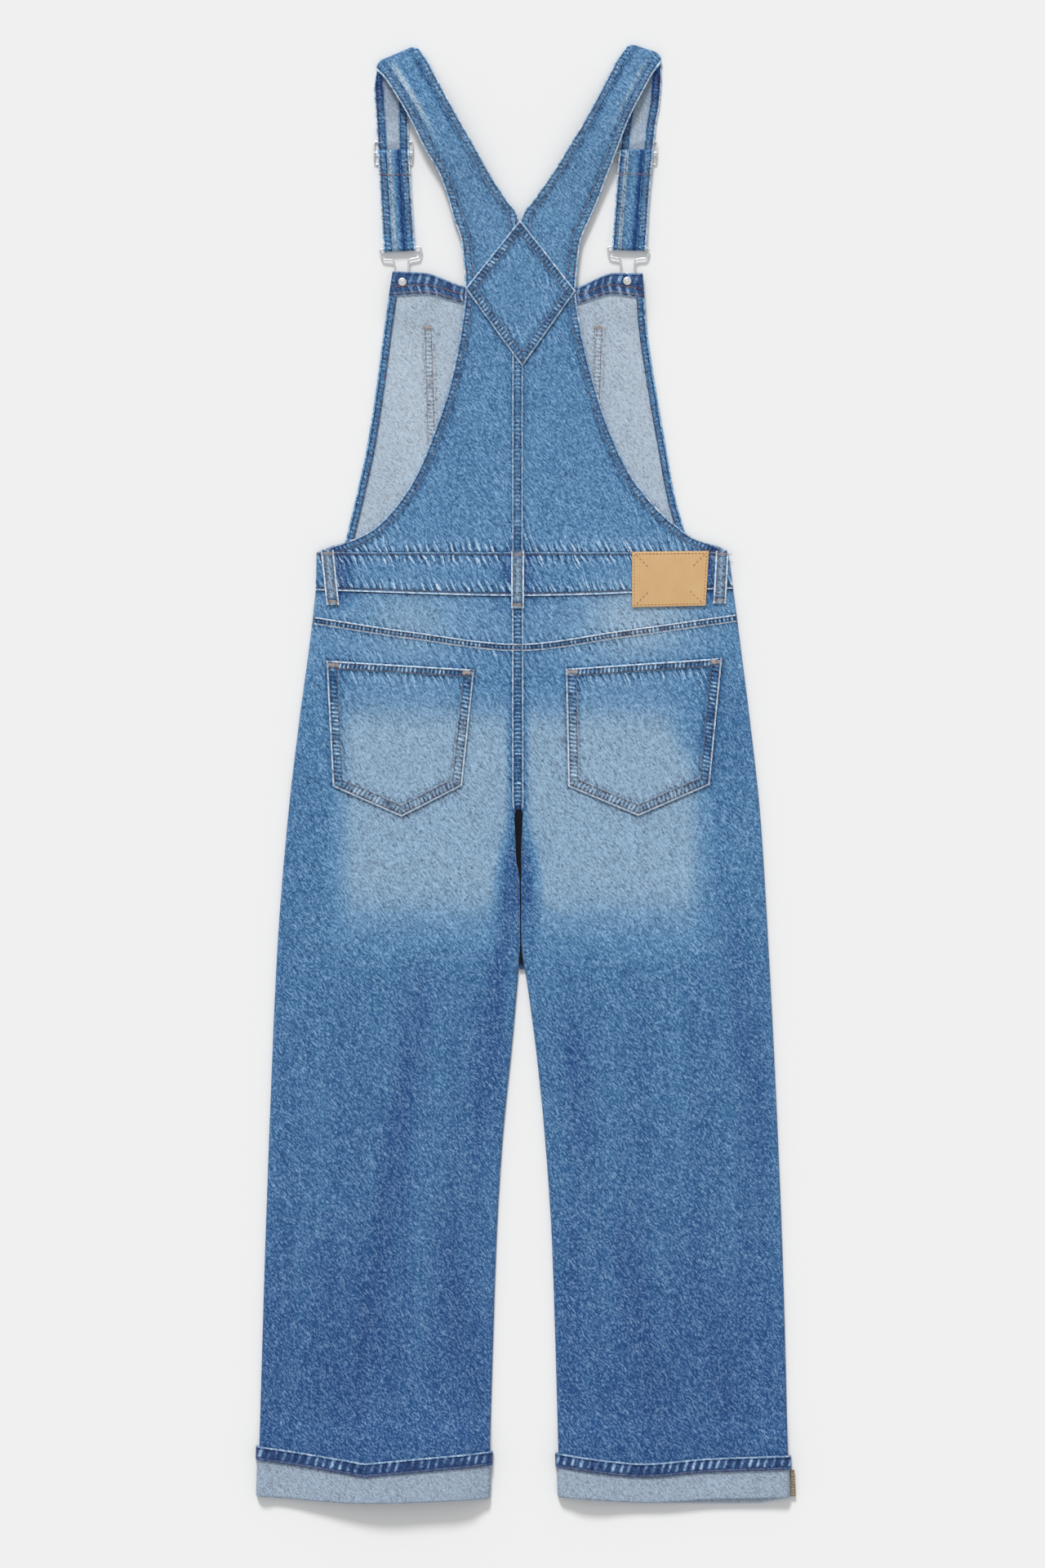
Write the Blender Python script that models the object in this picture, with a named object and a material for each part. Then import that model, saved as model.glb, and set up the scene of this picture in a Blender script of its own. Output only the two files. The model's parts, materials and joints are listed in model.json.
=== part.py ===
"""Denim dungarees laid flat on their front, so that the back shows.

Sizes are in millimetres in the tables and turned into metres where the meshes are made.
X runs across the garment, +Y points to the shoulders and +Z away from the floor, which is at 0.
"""

from collections import namedtuple
from math import cos, hypot, pi, radians, sin, sqrt

import bmesh
import bpy
import numpy as np

for old in list(bpy.data.objects):
    bpy.data.objects.remove(old, do_unlink=True)

MM = 0.001

# Driving sizes
CLOTH = 1.4  # one layer of denim
GAP = 0.3  # between neighbouring pieces
HEM_CLOTH = 1.2  # a turned hem, pressed flat
STRAP_CLOTH = 1.8
LEATHER = 1.6
LOOP_CLOTH = 1.6
WAISTBAND_EXTRA = 0.8  # how far the waistband stands above the panels beside it
SIDE_ROUND = 4.0  # width of the rounded side edge
SIDE_RISE = 3.2  # height of the rounded side edge
CROWN = 1.7  # how far the middle of a panel stands above its sides
CUFF_SPACE = 0.8  # between a leg and its turned-up cuff
CUFF_OUT = 1.8  # how far a cuff is wider than its leg on each side
CUFF_LIP = 4.0  # how far the cuff's fold reaches back inside the leg
LEG_END_GAP = 0.6  # between that fold and the leg's end
CUFF_MIDDLE = -690.0
HEM_WIDTH = 13.5
HEM_MIDDLE = -665.0
BIB_SIDE_HEM = 8.0
SEAM_END_TOP = -677.4
SEAM_END_LOW = -703.0
SEAM_END_WIDTH = 4.8
SEAM_END_CLOTH = 2.4
LOOP_WIDTH = 12.4
WAIST_TOP = 214.4
WAIST_FRONT_LOW = 177.0
CUFF_RAMP_TOP = -625.0  # the legs rise from here to lie on their cuffs
CUFF_RAMP_LOW = -650.0
CROTCH_TOP = -28.0  # the two legs part between these heights
CROTCH_LOW = -96.0
LEGS_TOP = 30.0  # one crown over both legs above this, and one over each below the next
LEGS_LOW = -140.0
BACK_BIB_TOP = 470.0
CUFF_ROWS = [0.0, 0.035, 0.06, 0.08, 0.1]  # the leg's rows over its cuff, as shares of its length
ARMHOLE_ROWS = [0.0, 0.025, 0.055, 0.09, 0.13, 0.18]
WIRE = 1.0  # radius of the buckle wire
SLIDER_WIRE = 0.8
BUTTON_HEAD = 8.5
BUTTON_SHANK = 2.2
TACK_RADIUS = 4.9
BUTTON_UNDER = 4.1  # the bib's corners rest this high, on the buttons and buckles
BIB_RAMP_LOW = 236.0  # the bib rises from here to lie on its pocket
BIB_RAMP_TOP = 277.0
BUTTON_REACH = (24.0, 52.0)  # the lift is whole within the first and gone past the second

REST = CLOTH + GAP  # where the back layer's edges start
FOLD_RADIUS = CLOTH + CUFF_SPACE / 2
CUFF_RAISE = CLOTH + CUFF_SPACE

Edges = namedtuple("Edges", "y left right")
BACK_EDGES = [
    Edges(214.4, -203.1, 197.1),
    Edges(171.5, -204.3, 202.7),
    Edges(115.9, -211.0, 209.8),
    Edges(52.4, -219.7, 217.8),
    Edges(-42.9, -230.9, 228.1),
    Edges(-169.9, -241.2, 236.0),
    Edges(-328.7, -248.3, 244.0),
    Edges(-487.5, -253.9, 250.3),
    Edges(-720.0, -260.6, 256.2),
]
INNER_EDGES = [  # left and right stand for the left leg's and the right leg's inner edge
    Edges(220.0, -7.85, -7.55),
    Edges(0.0, -7.25, -6.95),
    Edges(-28.0, -6.15, -5.55),
    Edges(-96.1, -6.0, -5.5),
    Edges(-169.9, -4.5, -4.0),
    Edges(-201.7, -7.7, 1.0),
    Edges(-265.2, -13.3, 9.7),
    Edges(-360.5, -22.8, 19.3),
    Edges(-455.8, -28.4, 25.6),
    Edges(-551.0, -31.6, 28.8),
    Edges(-720.0, -36.6, 33.4),
]
ARMHOLE_EDGES = [  # of the back bib, and of the two straps together above it
    Edges(536.7, -69.7, 62.1),
    Edges(515.3, -62.5, 53.4),
    Edges(470.0, -58.6, 48.6),
    Edges(433.5, -62.5, 53.4),
    Edges(374.8, -74.4, 67.7),
    Edges(331.9, -88.7, 82.0),
    Edges(289.8, -106.2, 101.8),
    Edges(258.1, -126.8, 126.4),
    Edges(236.6, -148.3, 150.3),
    Edges(225.5, -169.7, 168.0),
    Edges(219.5, -189.0, 187.5),
    Edges(214.4, -201.5, 196.2),
]
BIB_CENTRE = [  # inner edges of the two back bib panels
    Edges(470.0, -5.7, -5.4),
    Edges(394.0, -7.85, -7.55),
    Edges(214.4, -7.85, -7.55),
]
FRONT_BIB_EDGES = [
    Edges(486.7, -129.2, 113.7),
    Edges(433.5, -137.2, 117.7),
    Edges(374.0, -145.1, 126.4),
    Edges(314.4, -154.6, 136.8),
    Edges(266.8, -165.0, 145.5),
    Edges(214.4, -177.7, 161.4),
]

Line = namedtuple("Line", "x y")
BIB_TOP = [
    Line(-129.2, 486.7),
    Line(-99.8, 485.3),
    Line(-57.7, 471.6),
    Line(-8.0, 464.0),
    Line(49.4, 471.6),
    Line(87.5, 485.1),
    Line(113.7, 484.8),
]
BIB_HEM_DEPTH = [
    Line(-129.2, 24.0),
    Line(-57.7, 16.0),
    Line(49.4, 16.0),
    Line(113.7, 24.0),
]
WAIST_LOW = [Line(-203.9, 177.1), Line(-3.0, 171.5), Line(202.7, 178.7)]
YOKE_LOW = [
    Line(-206.5, 147.7),
    Line(-110.0, 133.0),
    Line(-7.7, 121.5),
    Line(95.0, 134.5),
    Line(206.0, 150.1),
]
CUFF_TOP = {
    "left": [Line(-262.0, -653.5), Line(-156.2, -672.5), Line(-34.7, -659.0)],
    "right": [Line(31.0, -660.6), Line(113.7, -673.3), Line(179.6, -666.2), Line(258.0, -663.0)],
}
CUFF_LOW = {
    "left": [Line(-262.4, -702.7), Line(-156.2, -709.0), Line(-35.0, -705.1)],
    "right": [Line(31.0, -703.5), Line(124.9, -709.0), Line(179.6, -705.9), Line(258.0, -704.3)],
}
CUFF_FRONT_LOW = {
    "left": [Line(-262.4, -702.5), Line(-156.2, -708.6), Line(-35.0, -704.9)],
    "right": [Line(31.0, -703.3), Line(118.0, -709.6), Line(220.0, -709.6), Line(258.0, -704.1)],
}

Lift = namedtuple("Lift", "y lift crown")
BACK_LIFT = [  # height over the side rise, and the crown, where the back layer lies on the bib
    Lift(720.0, -0.1, 0.0),
    Lift(672.0, -0.1, 0.0),
    Lift(640.0, 1.0, 0.0),
    Lift(600.0, 1.1, 0.0),
    Lift(540.0, 1.9, 0.4),
    Lift(470.0, 1.9, 0.5),
    Lift(425.0, 1.9, 0.8),
    Lift(370.0, 0.4, 1.5),
    Lift(214.4, 0.0, CROWN),
]

Fold = namedtuple("Fold", "x0 y0 x1 y1 depth width")
LEG_FOLDS = [
    Fold(-112.0, -190.0, -126.0, -350.0, 1.0, 24.0),
    Fold(-126.0, -350.0, -160.0, -610.0, 1.5, 21.0),
    Fold(-69.0, -430.0, -66.0, -600.0, 0.9, 18.0),
    Fold(-215.0, -420.0, -222.0, -600.0, 0.7, 17.0),
    Fold(72.0, -300.0, 84.0, -470.0, 1.0, 22.0),
    Fold(104.0, -480.0, 132.0, -620.0, 1.4, 20.0),
    Fold(200.0, -330.0, 232.0, -470.0, 0.9, 20.0),
]

Pocket = namedtuple("Pocket", "x y")
BACK_POCKETS = {  # top left, top right, right corner, point, left corner
    "left": [
        Pocket(-193.5, 108.8),
        Pocket(-49.8, 100.0),
        Pocket(-61.7, -12.7),
        Pocket(-120.5, -42.9),
        Pocket(-187.2, -13.5),
    ],
    "right": [
        Pocket(39.1, 100.8),
        Pocket(190.8, 111.2),
        Pocket(178.8, -11.9),
        Pocket(109.4, -42.1),
        Pocket(41.5, -13.5),
    ],
}
Panel = namedtuple("Panel", "top bottom left right narrow")
BIB_POCKET = Panel(430.0, 283.0, -99.8, 75.6, 4.0)
POCKET_MARGIN = 1.5  # past the bib pocket, where the bib starts to sink to the floor
DIAMOND = [Line(-3.4, 393.8), Line(48.6, 467.5), Line(-5.4, 536.7), Line(-58.6, 470.0)]
LEATHER_CORNERS = [Line(103.4, 160.4), Line(174.9, 162.0), Line(178.1, 215.2), Line(103.4, 214.4)]

Loop = namedtuple("Loop", "name x_top x_low y_top y_low")
BELT_LOOPS = [
    Loop("left", -192.7, -187.2, 216.0, 162.8),
    Loop("centre", -7.7, -7.7, 215.2, 159.6),
    Loop("right", 191.0, 188.4, 215.2, 164.4),
]
Arch = namedtuple("Arch", "share rise")
LOOP_ARCH = [Arch(0.0, 0.35), Arch(0.14, 1.2), Arch(0.3, 1.6), Arch(0.6, 2.2), Arch(1.0, 1.3)]
LOOP_ROWS = [0.0, 0.07, 0.14, 0.22, 0.3, 0.45, 0.6, 0.75, 0.88, 1.0]

Run = namedtuple("Run", "outer_x outer_y inner_x inner_y")
STRAPS = {
    "left": {
        "back": [
            Run(-58.6, 470.3, -5.7, 470.3),
            Run(-59.6, 486.0, -5.7, 486.0),
            Run(-61.0, 501.0, -5.7, 501.0),
            Run(-62.5, 515.3, -5.7, 515.3),
            Run(-65.8, 527.0, -5.7, 527.0),
            Run(-69.7, 536.7, -6.2, 536.7),
            Run(-75.0, 556.0, -19.5, 558.0),
            Run(-84.0, 581.2, -35.5, 583.0),
            Run(-98.3, 606.0, -48.5, 606.5),
            Run(-112.5, 634.4, -66.0, 637.0),
            Run(-127.0, 659.5, -80.5, 664.0),
            Run(-140.5, 680.5, -93.0, 688.0),
        ],
        "fold": Run(-147.8, 689.2, -104.4, 707.6),
        "front": [
            Run(-147.6, 668.0, -110.5, 676.0),
            Run(-146.4, 649.5, -113.9, 649.5),
            Run(-145.0, 628.0, -113.7, 628.0),
            Run(-144.2, 613.0, -113.5, 613.0),
            Run(-143.6, 602.5, -113.2, 602.5),
            Run(-142.8, 591.0, -112.6, 591.0),
            Run(-142.0, 576.0, -111.8, 576.0),
            Run(-140.6, 548.0, -110.0, 548.0),
            Run(-139.2, 524.0, -108.4, 524.0),
        ],
        "end": (-138.2, -107.2),
    },
    "right": {
        "back": [
            Run(48.6, 470.3, -5.4, 470.3),
            Run(49.8, 486.0, -5.4, 486.0),
            Run(51.4, 501.0, -5.4, 501.0),
            Run(53.4, 515.3, -5.4, 515.3),
            Run(57.6, 527.0, -5.4, 527.0),
            Run(62.1, 536.7, -4.9, 536.7),
            Run(70.5, 556.0, 9.0, 558.0),
            Run(80.0, 581.2, 26.5, 583.0),
            Run(89.5, 606.0, 42.0, 608.0),
            Run(100.4, 634.4, 60.0, 638.0),
            Run(113.0, 659.5, 75.0, 666.5),
            Run(124.6, 681.0, 87.5, 691.0),
        ],
        "fold": Run(134.4, 697.4, 98.2, 709.5),
        "front": [
            Run(132.6, 676.0, 98.4, 684.0),
            Run(130.5, 649.5, 97.0, 652.0),
            Run(126.6, 628.0, 93.5, 628.0),
            Run(125.0, 613.0, 92.0, 613.0),
            Run(124.0, 602.5, 91.0, 602.5),
            Run(122.9, 591.0, 90.0, 591.0),
            Run(121.6, 576.0, 88.8, 576.0),
            Run(119.6, 548.0, 86.6, 548.0),
            Run(118.2, 524.0, 84.8, 524.0),
        ],
        "end": (117.0, 83.8),
    },
}
Place = namedtuple("Place", "y z")
FRONT_RUN_UNDER = [  # underside of the front run where it passes the slider's bars
    Place(575.0, 0.0),
    Place(591.0, 2.0),
    Place(602.5, 0.0),
    Place(613.0, 2.0),
    Place(630.0, 0.0),
]
RETURN_TOP = [  # outer face of the end that returns from the buckle to the slider
    Place(524.0, 4.7),
    Place(548.0, 4.3),
    Place(576.0, 4.7),
    Place(591.0, 5.9),
    Place(602.5, 5.8),
]
SLIDER_RUN = 4  # the front row at the slider's middle bar
TURN_STEP = 30  # degrees between the rows of a strap's turns
SHOULDER_RADIUS = 2.4
BUCKLE_RADIUS = 3.1  # outer radius of the strap's turn round the buckle's bar
SLIDER_Y = (613.0, 602.5, 591.0)
SLIDER_SIDE = 3.4  # from the strap's edge to the middle of the slider's side wire
SLIDER_MIDDLE_Z = 2.9
SLIDER_CORNER = 2.6

Button = namedtuple("Button", "x y tilt")
BUTTONS = {"left": Button(-119.7, 476.4, 3.0), "right": Button(98.7, 477.2, -2.0)}
BAR_AWAY = 33.0  # from the button to the buckle's bar
BUCKLE_HALF = [  # one half of the wire, from the bar to the top of the round end
    Line(15.5, BAR_AWAY),
    Line(18.6, BAR_AWAY),
    Line(20.2, 31.6),
    Line(19.4, 28.0),
    Line(18.2, 24.0),
    Line(16.8, 22.9),
    Line(9.6, 22.2),
    Line(7.4, 21.0),
    Line(6.8, 18.5),
    Line(6.6, 10.5),
    Line(6.2, 5.6),
]
BUCKLE_ROUND = 5.8
BUCKLE_LOW = 2.8  # middle of the wire, round the button's shank

DENIM = (0.105, 0.205, 0.370)
DENIM_DARK = (0.055, 0.120, 0.260)
DENIM_REVERSE = (0.340, 0.440, 0.540)
TAN_LEATHER = (0.560, 0.330, 0.125)
THREAD_EDGE = (0.250, 0.200, 0.160)
NICKEL = (0.720, 0.720, 0.710)


def mix(a, b, t):
    return a + (b - a) * t


def ease(start, end, value):
    t = min(max((value - start) / (end - start), 0.0), 1.0)
    return t * t * (3.0 - 2.0 * t)


def along(rows, column, key, value):
    """A column of a table at a value of its key column, through a smooth curve."""
    keys = [getattr(row, key) for row in rows]
    numbers = [getattr(row, column) for row in rows]
    if keys[0] > keys[-1]:
        keys.reverse()
        numbers.reverse()
    if value <= keys[0]:
        return numbers[0]
    if value >= keys[-1]:
        return numbers[-1]
    i = int(np.searchsorted(keys, value, side="right")) - 1
    steps = np.diff(keys)
    rises = np.diff(numbers) / steps
    slopes = [rises[0]]
    for before, after in zip(rises[:-1], rises[1:]):
        slopes.append(0.0 if before * after <= 0 else 2 * before * after / (before + after))
    slopes.append(rises[-1])
    h = steps[i]
    t = (value - keys[i]) / h
    start = numbers[i] * (1 + 2 * t) * (1 - t) ** 2 + slopes[i] * h * t * (1 - t) ** 2
    return start + numbers[i + 1] * t * t * (3 - 2 * t) + slopes[i + 1] * h * t * t * (t - 1)


def by_x(rows, x):
    return along(rows, "y", "x", x)


def straight(rows, x):
    """A table of two columns read with straight lines between its rows."""
    keys, values = zip(*rows)
    return float(np.interp(x, keys, values))


def left_of(rows, y):
    return along(rows, "left", "y", y)


def right_of(rows, y):
    return along(rows, "right", "y", y)


def cuff_lift(y):
    return CUFF_RAISE * ease(CUFF_RAMP_TOP, CUFF_RAMP_LOW, y)


def back_low(y):
    return REST + cuff_lift(y)


def fold_depth(x, y):
    """How far the soft folds of the legs lower the cloth at a point."""
    total = 0.0
    for fold in LEG_FOLDS:
        run_x, run_y = fold.x1 - fold.x0, fold.y1 - fold.y0
        share = ((x - fold.x0) * run_x + (y - fold.y0) * run_y) / (run_x**2 + run_y**2)
        near = min(max(share, 0.0), 1.0)
        away = hypot(x - fold.x0 - near * run_x, (y - fold.y0 - near * run_y) * 0.45)
        total += fold.depth * 2.0 ** (-((away / fold.width) ** 2) * 2.0)
    return total


def crown_share(x, left, right):
    t = min(max((x - left) / (right - left), 0.0), 1.0)
    return 1.0 - (2.0 * t - 1.0) ** 2


def crown(x, y):
    """Height of the back layer's outer face, without the rounding of its sides."""
    if y > WAIST_TOP:
        left, right = left_of(ARMHOLE_EDGES, y), right_of(ARMHOLE_EDGES, y)
        swell = along(BACK_LIFT, "crown", "y", y) * crown_share(x, left, right)
        return REST + SIDE_RISE + along(BACK_LIFT, "lift", "y", y) + swell
    left, right = left_of(BACK_EDGES, y), right_of(BACK_EDGES, y)
    inner_left, inner_right = left_of(INNER_EDGES, y), right_of(INNER_EDGES, y)
    whole = crown_share(x, left, right)
    if x < (inner_left + inner_right) / 2:
        leg = crown_share(x, left, inner_left)
    else:
        leg = crown_share(x, inner_right, right)
    swell = CROWN * mix(whole, leg, ease(LEGS_TOP, LEGS_LOW, y))
    return back_low(y) + SIDE_RISE + swell - fold_depth(x, y)


EDGE_ANGLES = [0.0, 35.0, 65.0]


def arch_row(left, right, low, height, depth, middle, rounds, side_round=SIDE_ROUND):
    """X and Z across one section of a panel, `depth` inside its outer face.

    rounds holds how far the left and the right side turn down, from 0 (a flat seam) to 1.
    """
    points = []
    for angle in EDGE_ANGLES:
        a = radians(angle)
        flat_x = left + side_round * (1 - cos(a))
        side_x = left + depth + (side_round - depth) * (1 - cos(a))
        top = height(left + side_round) - depth
        side_z = low + (top - low) * sin(a)
        points.append((mix(flat_x, side_x, rounds[0]), mix(height(flat_x) - depth, side_z, rounds[0])))
    for t in np.linspace(0.0, 1.0, middle + 1):
        x = mix(left + side_round, right - side_round, float(t))
        points.append((x, height(x) - depth))
    for angle in reversed(EDGE_ANGLES):
        a = radians(angle)
        flat_x = right - side_round * (1 - cos(a))
        side_x = right - depth - (side_round - depth) * (1 - cos(a))
        top = height(right - side_round) - depth
        side_z = low + (top - low) * sin(a)
        points.append((mix(flat_x, side_x, rounds[1]), mix(height(flat_x) - depth, side_z, rounds[1])))
    return points


def material(name, colour, roughness=0.9, metallic=0.0):
    made = bpy.data.materials.new(name)
    made.use_nodes = True
    shader = made.node_tree.nodes["Principled BSDF"]
    shader.inputs["Base Color"].default_value = (*colour, 1.0)
    shader.inputs["Roughness"].default_value = roughness
    shader.inputs["Metallic"].default_value = metallic
    return made


def finish(name, mesh_data, colour, roughness=0.9, metallic=0.0):
    """Turns a bmesh in millimetres into an object in metres with its own material."""
    bmesh.ops.recalc_face_normals(mesh_data, faces=mesh_data.faces)
    bmesh.ops.scale(mesh_data, vec=(MM, MM, MM), verts=mesh_data.verts)
    mesh = bpy.data.meshes.new(name)
    mesh_data.to_mesh(mesh)
    mesh_data.free()
    mesh.shade_smooth()
    mesh.set_sharp_from_angle(angle=radians(40.0))
    mesh.materials.append(material(name, colour, roughness, metallic))
    made = bpy.data.objects.new(name, mesh)
    bpy.context.scene.collection.objects.link(made)
    return made


def wall(name, outer, inner, colour):
    """A closed wall between two grids of points, given as rows of (x, y, z)."""
    built = bmesh.new()
    outer_points = [[built.verts.new(p) for p in row] for row in outer]
    inner_points = [[built.verts.new(p) for p in row] for row in inner]
    rows, columns = len(outer), len(outer[0])
    for r in range(rows - 1):
        for c in range(columns - 1):
            for grid in (outer_points, inner_points):
                built.faces.new((grid[r][c], grid[r][c + 1], grid[r + 1][c + 1], grid[r + 1][c]))
    for r in range(rows - 1):
        for c in (0, columns - 1):
            near, far = outer_points[r][c], outer_points[r + 1][c]
            built.faces.new((near, far, inner_points[r + 1][c], inner_points[r][c]))
    for c in range(columns - 1):
        for r in (0, rows - 1):
            near, far = outer_points[r][c], outer_points[r][c + 1]
            built.faces.new((near, far, inner_points[r][c + 1], inner_points[r][c]))
    return finish(name, built, colour)


def layer(name, grid, low, high, colour):
    """A wall made from a grid of points moved straight up by two distances."""
    outer = [[(x, y, z + high) for x, y, z in row] for row in grid]
    inner = [[(x, y, z + low) for x, y, z in row] for row in grid]
    return wall(name, outer, inner, colour)


def steps(count, start=0.0):
    return [mix(start, 1.0, i / count) for i in range(count + 1)]


def field(left, right, low, high, rows, columns, height):
    """A grid of points on a height, between side lines given by y and end lines given by x."""
    grid = []
    for v in rows:
        row = []
        for u in columns:
            y = mix(low(0.0), high(0.0), v)
            for _ in range(3):
                x = mix(left(y), right(y), u)
                y = mix(low(x), high(x), v)
            row.append((x, y, height(x, y)))
        grid.append(row)
    return grid


# Front layer, face down on the floor


def front_waistband():
    grid = field(
        lambda y: left_of(BACK_EDGES, y),
        lambda y: right_of(BACK_EDGES, y),
        lambda x: WAIST_FRONT_LOW,
        lambda x: WAIST_TOP - GAP,
        steps(3),
        steps(6),
        lambda x, y: 0.0,
    )
    layer("waistband_front", grid, 0.0, CLOTH, DENIM_REVERSE)


def cuff_low_line(side, x):
    return by_x(CUFF_LOW[side], x)


def leg_sides(side):
    """The left and the right edge of one leg, as functions of y."""
    if side == "left":
        return (lambda y: left_of(BACK_EDGES, y)), (lambda y: left_of(INNER_EDGES, y))
    return (lambda y: right_of(INNER_EDGES, y)), (lambda y: right_of(BACK_EDGES, y))


def leg_end(side, x):
    fold = max(cuff_low_line(side, x), by_x(CUFF_FRONT_LOW[side], x))
    return fold + FOLD_RADIUS + CUFF_LIP + LEG_END_GAP


def front_leg(side):
    left, right = leg_sides(side)
    grid = field(
        left,
        right,
        lambda x: leg_end(side, x),
        lambda x: WAIST_FRONT_LOW - GAP,
        CUFF_ROWS + steps(14, CUFF_ROWS[-1])[1:],
        steps(6),
        lambda x, y: cuff_lift(y),
    )
    layer(f"front_leg_{side}", grid, 0.0, CLOTH, DENIM_REVERSE)


def bib_under(x, y):
    """Underside of the front bib, which lies on its pocket, its buttons and the buckles."""
    left, right = left_of(FRONT_BIB_EDGES, y), right_of(FRONT_BIB_EDGES, y)
    pocket_left, pocket_right = BIB_POCKET.left - POCKET_MARGIN, BIB_POCKET.right + POCKET_MARGIN
    from_left = min(max((x - left) / (pocket_left - left), 0.0), 1.0)
    from_right = min(max((right - x) / (right - pocket_right), 0.0), 1.0)
    under = REST * min(from_left, from_right) * ease(BIB_RAMP_LOW, BIB_RAMP_TOP, y)
    for button in BUTTONS.values():
        near = ease(BUTTON_REACH[1], BUTTON_REACH[0], hypot(x - button.x, y - button.y))
        under = mix(under, BUTTON_UNDER, near)
    return under


def front_bib():
    """The bib and its turned hems, which are made from the bib's own points."""
    pocket_left, pocket_right = BIB_POCKET.left - POCKET_MARGIN, BIB_POCKET.right + POCKET_MARGIN
    hem_rows, body_rows = 3, 15
    grid = []
    for i in range(body_rows + hem_rows + 1):
        row = []
        for j in range(17):
            y = mix(WAIST_TOP, 480.0, min(i / body_rows, 1.0))
            for _ in range(4):
                left, right = left_of(FRONT_BIB_EDGES, y), right_of(FRONT_BIB_EDGES, y)
                start, end = left + BIB_SIDE_HEM, right - BIB_SIDE_HEM
                places = [left, start, mix(start, pocket_left, 0.35), mix(start, pocket_left, 0.7)]
                places += [mix(pocket_left, pocket_right, t) for t in steps(8)]
                places += [mix(pocket_right, end, 0.3), mix(pocket_right, end, 0.65), end, right]
                x = places[j]
                top = by_x(BIB_TOP, x)
                hem_line = top - straight(BIB_HEM_DEPTH, x)
                if i <= body_rows:
                    y = mix(WAIST_TOP, hem_line, i / body_rows)
                else:
                    y = mix(hem_line, top, (i - body_rows) / hem_rows)
            row.append((x, y, bib_under(x, y)))
        grid.append(row)
    layer("front_bib", grid, 0.0, CLOTH, DENIM_REVERSE)
    low, high = CLOTH + GAP, CLOTH + GAP + HEM_CLOTH
    layer("bib_top_hem", grid[body_rows:], low, high, DENIM_DARK)
    below = [list(row) for row in grid[: body_rows + 1]]
    below[-1] = [(x, y - GAP, z) for x, y, z in below[-1]]
    layer("bib_side_hem_left", [row[:2] for row in below], low, high, DENIM_DARK)
    layer("bib_side_hem_right", [row[-2:] for row in below], low, high, DENIM_DARK)


def bib_pocket():
    panel = BIB_POCKET
    grid = field(
        lambda y: panel.left + panel.narrow * ease(panel.top, panel.bottom, y),
        lambda y: panel.right - panel.narrow * ease(panel.top, panel.bottom, y),
        lambda x: panel.bottom,
        lambda x: panel.top,
        steps(4),
        steps(6),
        lambda x, y: 0.0,
    )
    layer("bib_pocket", grid, 0.0, CLOTH, DENIM)


# Back layer


def arched(name, left, right, low, high, rows, middle, rounds, colour, above=0.0, thick=CLOTH):
    """A back panel: its outer face follows the crown and its sides turn down to the front."""
    outer, inner = [], []
    for v in rows:
        for depth, grid in ((0.0, outer), (thick, inner)):
            row = []
            count = 2 * len(EDGE_ANGLES) + middle + 1
            for c in range(count):
                share = c / (count - 1)
                y = mix(low(0.0), high(0.0), v)
                for _ in range(3):
                    x = mix(left(y), right(y), share)
                    y = mix(low(x), high(x), v)
                for _ in range(3):
                    edges = (left(y), right(y), back_low(y))
                    points = arch_row(*edges, lambda x: crown(x, y) + above, depth, middle, rounds(y))
                    x, z = points[c]
                    y, at_y = mix(low(x), high(x), v), y
                row.append((x, at_y, z))
            grid.append(row)
    return wall(name, outer, inner, colour)


def back_leg(side):
    left, right = leg_sides(side)

    def rounds(y):
        inner = ease(CROTCH_TOP, CROTCH_LOW, y)
        return (1.0, inner) if side == "left" else (inner, 1.0)

    arched(
        f"back_leg_{side}",
        left,
        right,
        lambda x: leg_end(side, x),
        lambda x: by_x(YOKE_LOW, x) - GAP,
        CUFF_ROWS + steps(17, CUFF_ROWS[-1])[1:],
        9,
        rounds,
        DENIM,
    )


def yoke(side):
    left, right = leg_sides(side)
    arched(
        f"yoke_{side}",
        left,
        right,
        lambda x: by_x(YOKE_LOW, x),
        lambda x: by_x(WAIST_LOW, x) - GAP,
        steps(3),
        8,
        lambda y: (1.0, 0.0) if side == "left" else (0.0, 1.0),
        DENIM,
    )


def back_waistband():
    arched(
        "waistband_back",
        lambda y: left_of(BACK_EDGES, y),
        lambda y: right_of(BACK_EDGES, y),
        lambda x: by_x(WAIST_LOW, x),
        lambda x: WAIST_TOP - GAP,
        steps(4),
        18,
        lambda y: (1.0, 1.0),
        DENIM,
        above=WAISTBAND_EXTRA,
        thick=CLOTH + WAISTBAND_EXTRA,
    )


def back_bib(side):
    if side == "left":
        left, right = (lambda y: left_of(ARMHOLE_EDGES, y)), (lambda y: left_of(BIB_CENTRE, y))
    else:
        left, right = (lambda y: right_of(BIB_CENTRE, y)), (lambda y: right_of(ARMHOLE_EDGES, y))
    rows = ARMHOLE_ROWS + steps(13, ARMHOLE_ROWS[-1])[1:]
    grid = field(left, right, lambda x: WAIST_TOP, lambda x: BACK_BIB_TOP, rows, steps(8), crown)
    layer(f"back_bib_{side}", grid, -CLOTH, 0.0, DENIM)


def diamond_patch():
    low, right, top, left = DIAMOND
    grid = []
    for v in steps(8):
        row = []
        for u in steps(8):
            x = mix(mix(low.x, right.x, u), mix(left.x, top.x, u), v)
            y = mix(mix(low.y, right.y, u), mix(left.y, top.y, u), v)
            row.append((x, y, crown(x, y)))
        grid.append(row)
    layer("diamond_patch", grid, GAP, GAP + CLOTH, DENIM)


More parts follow.
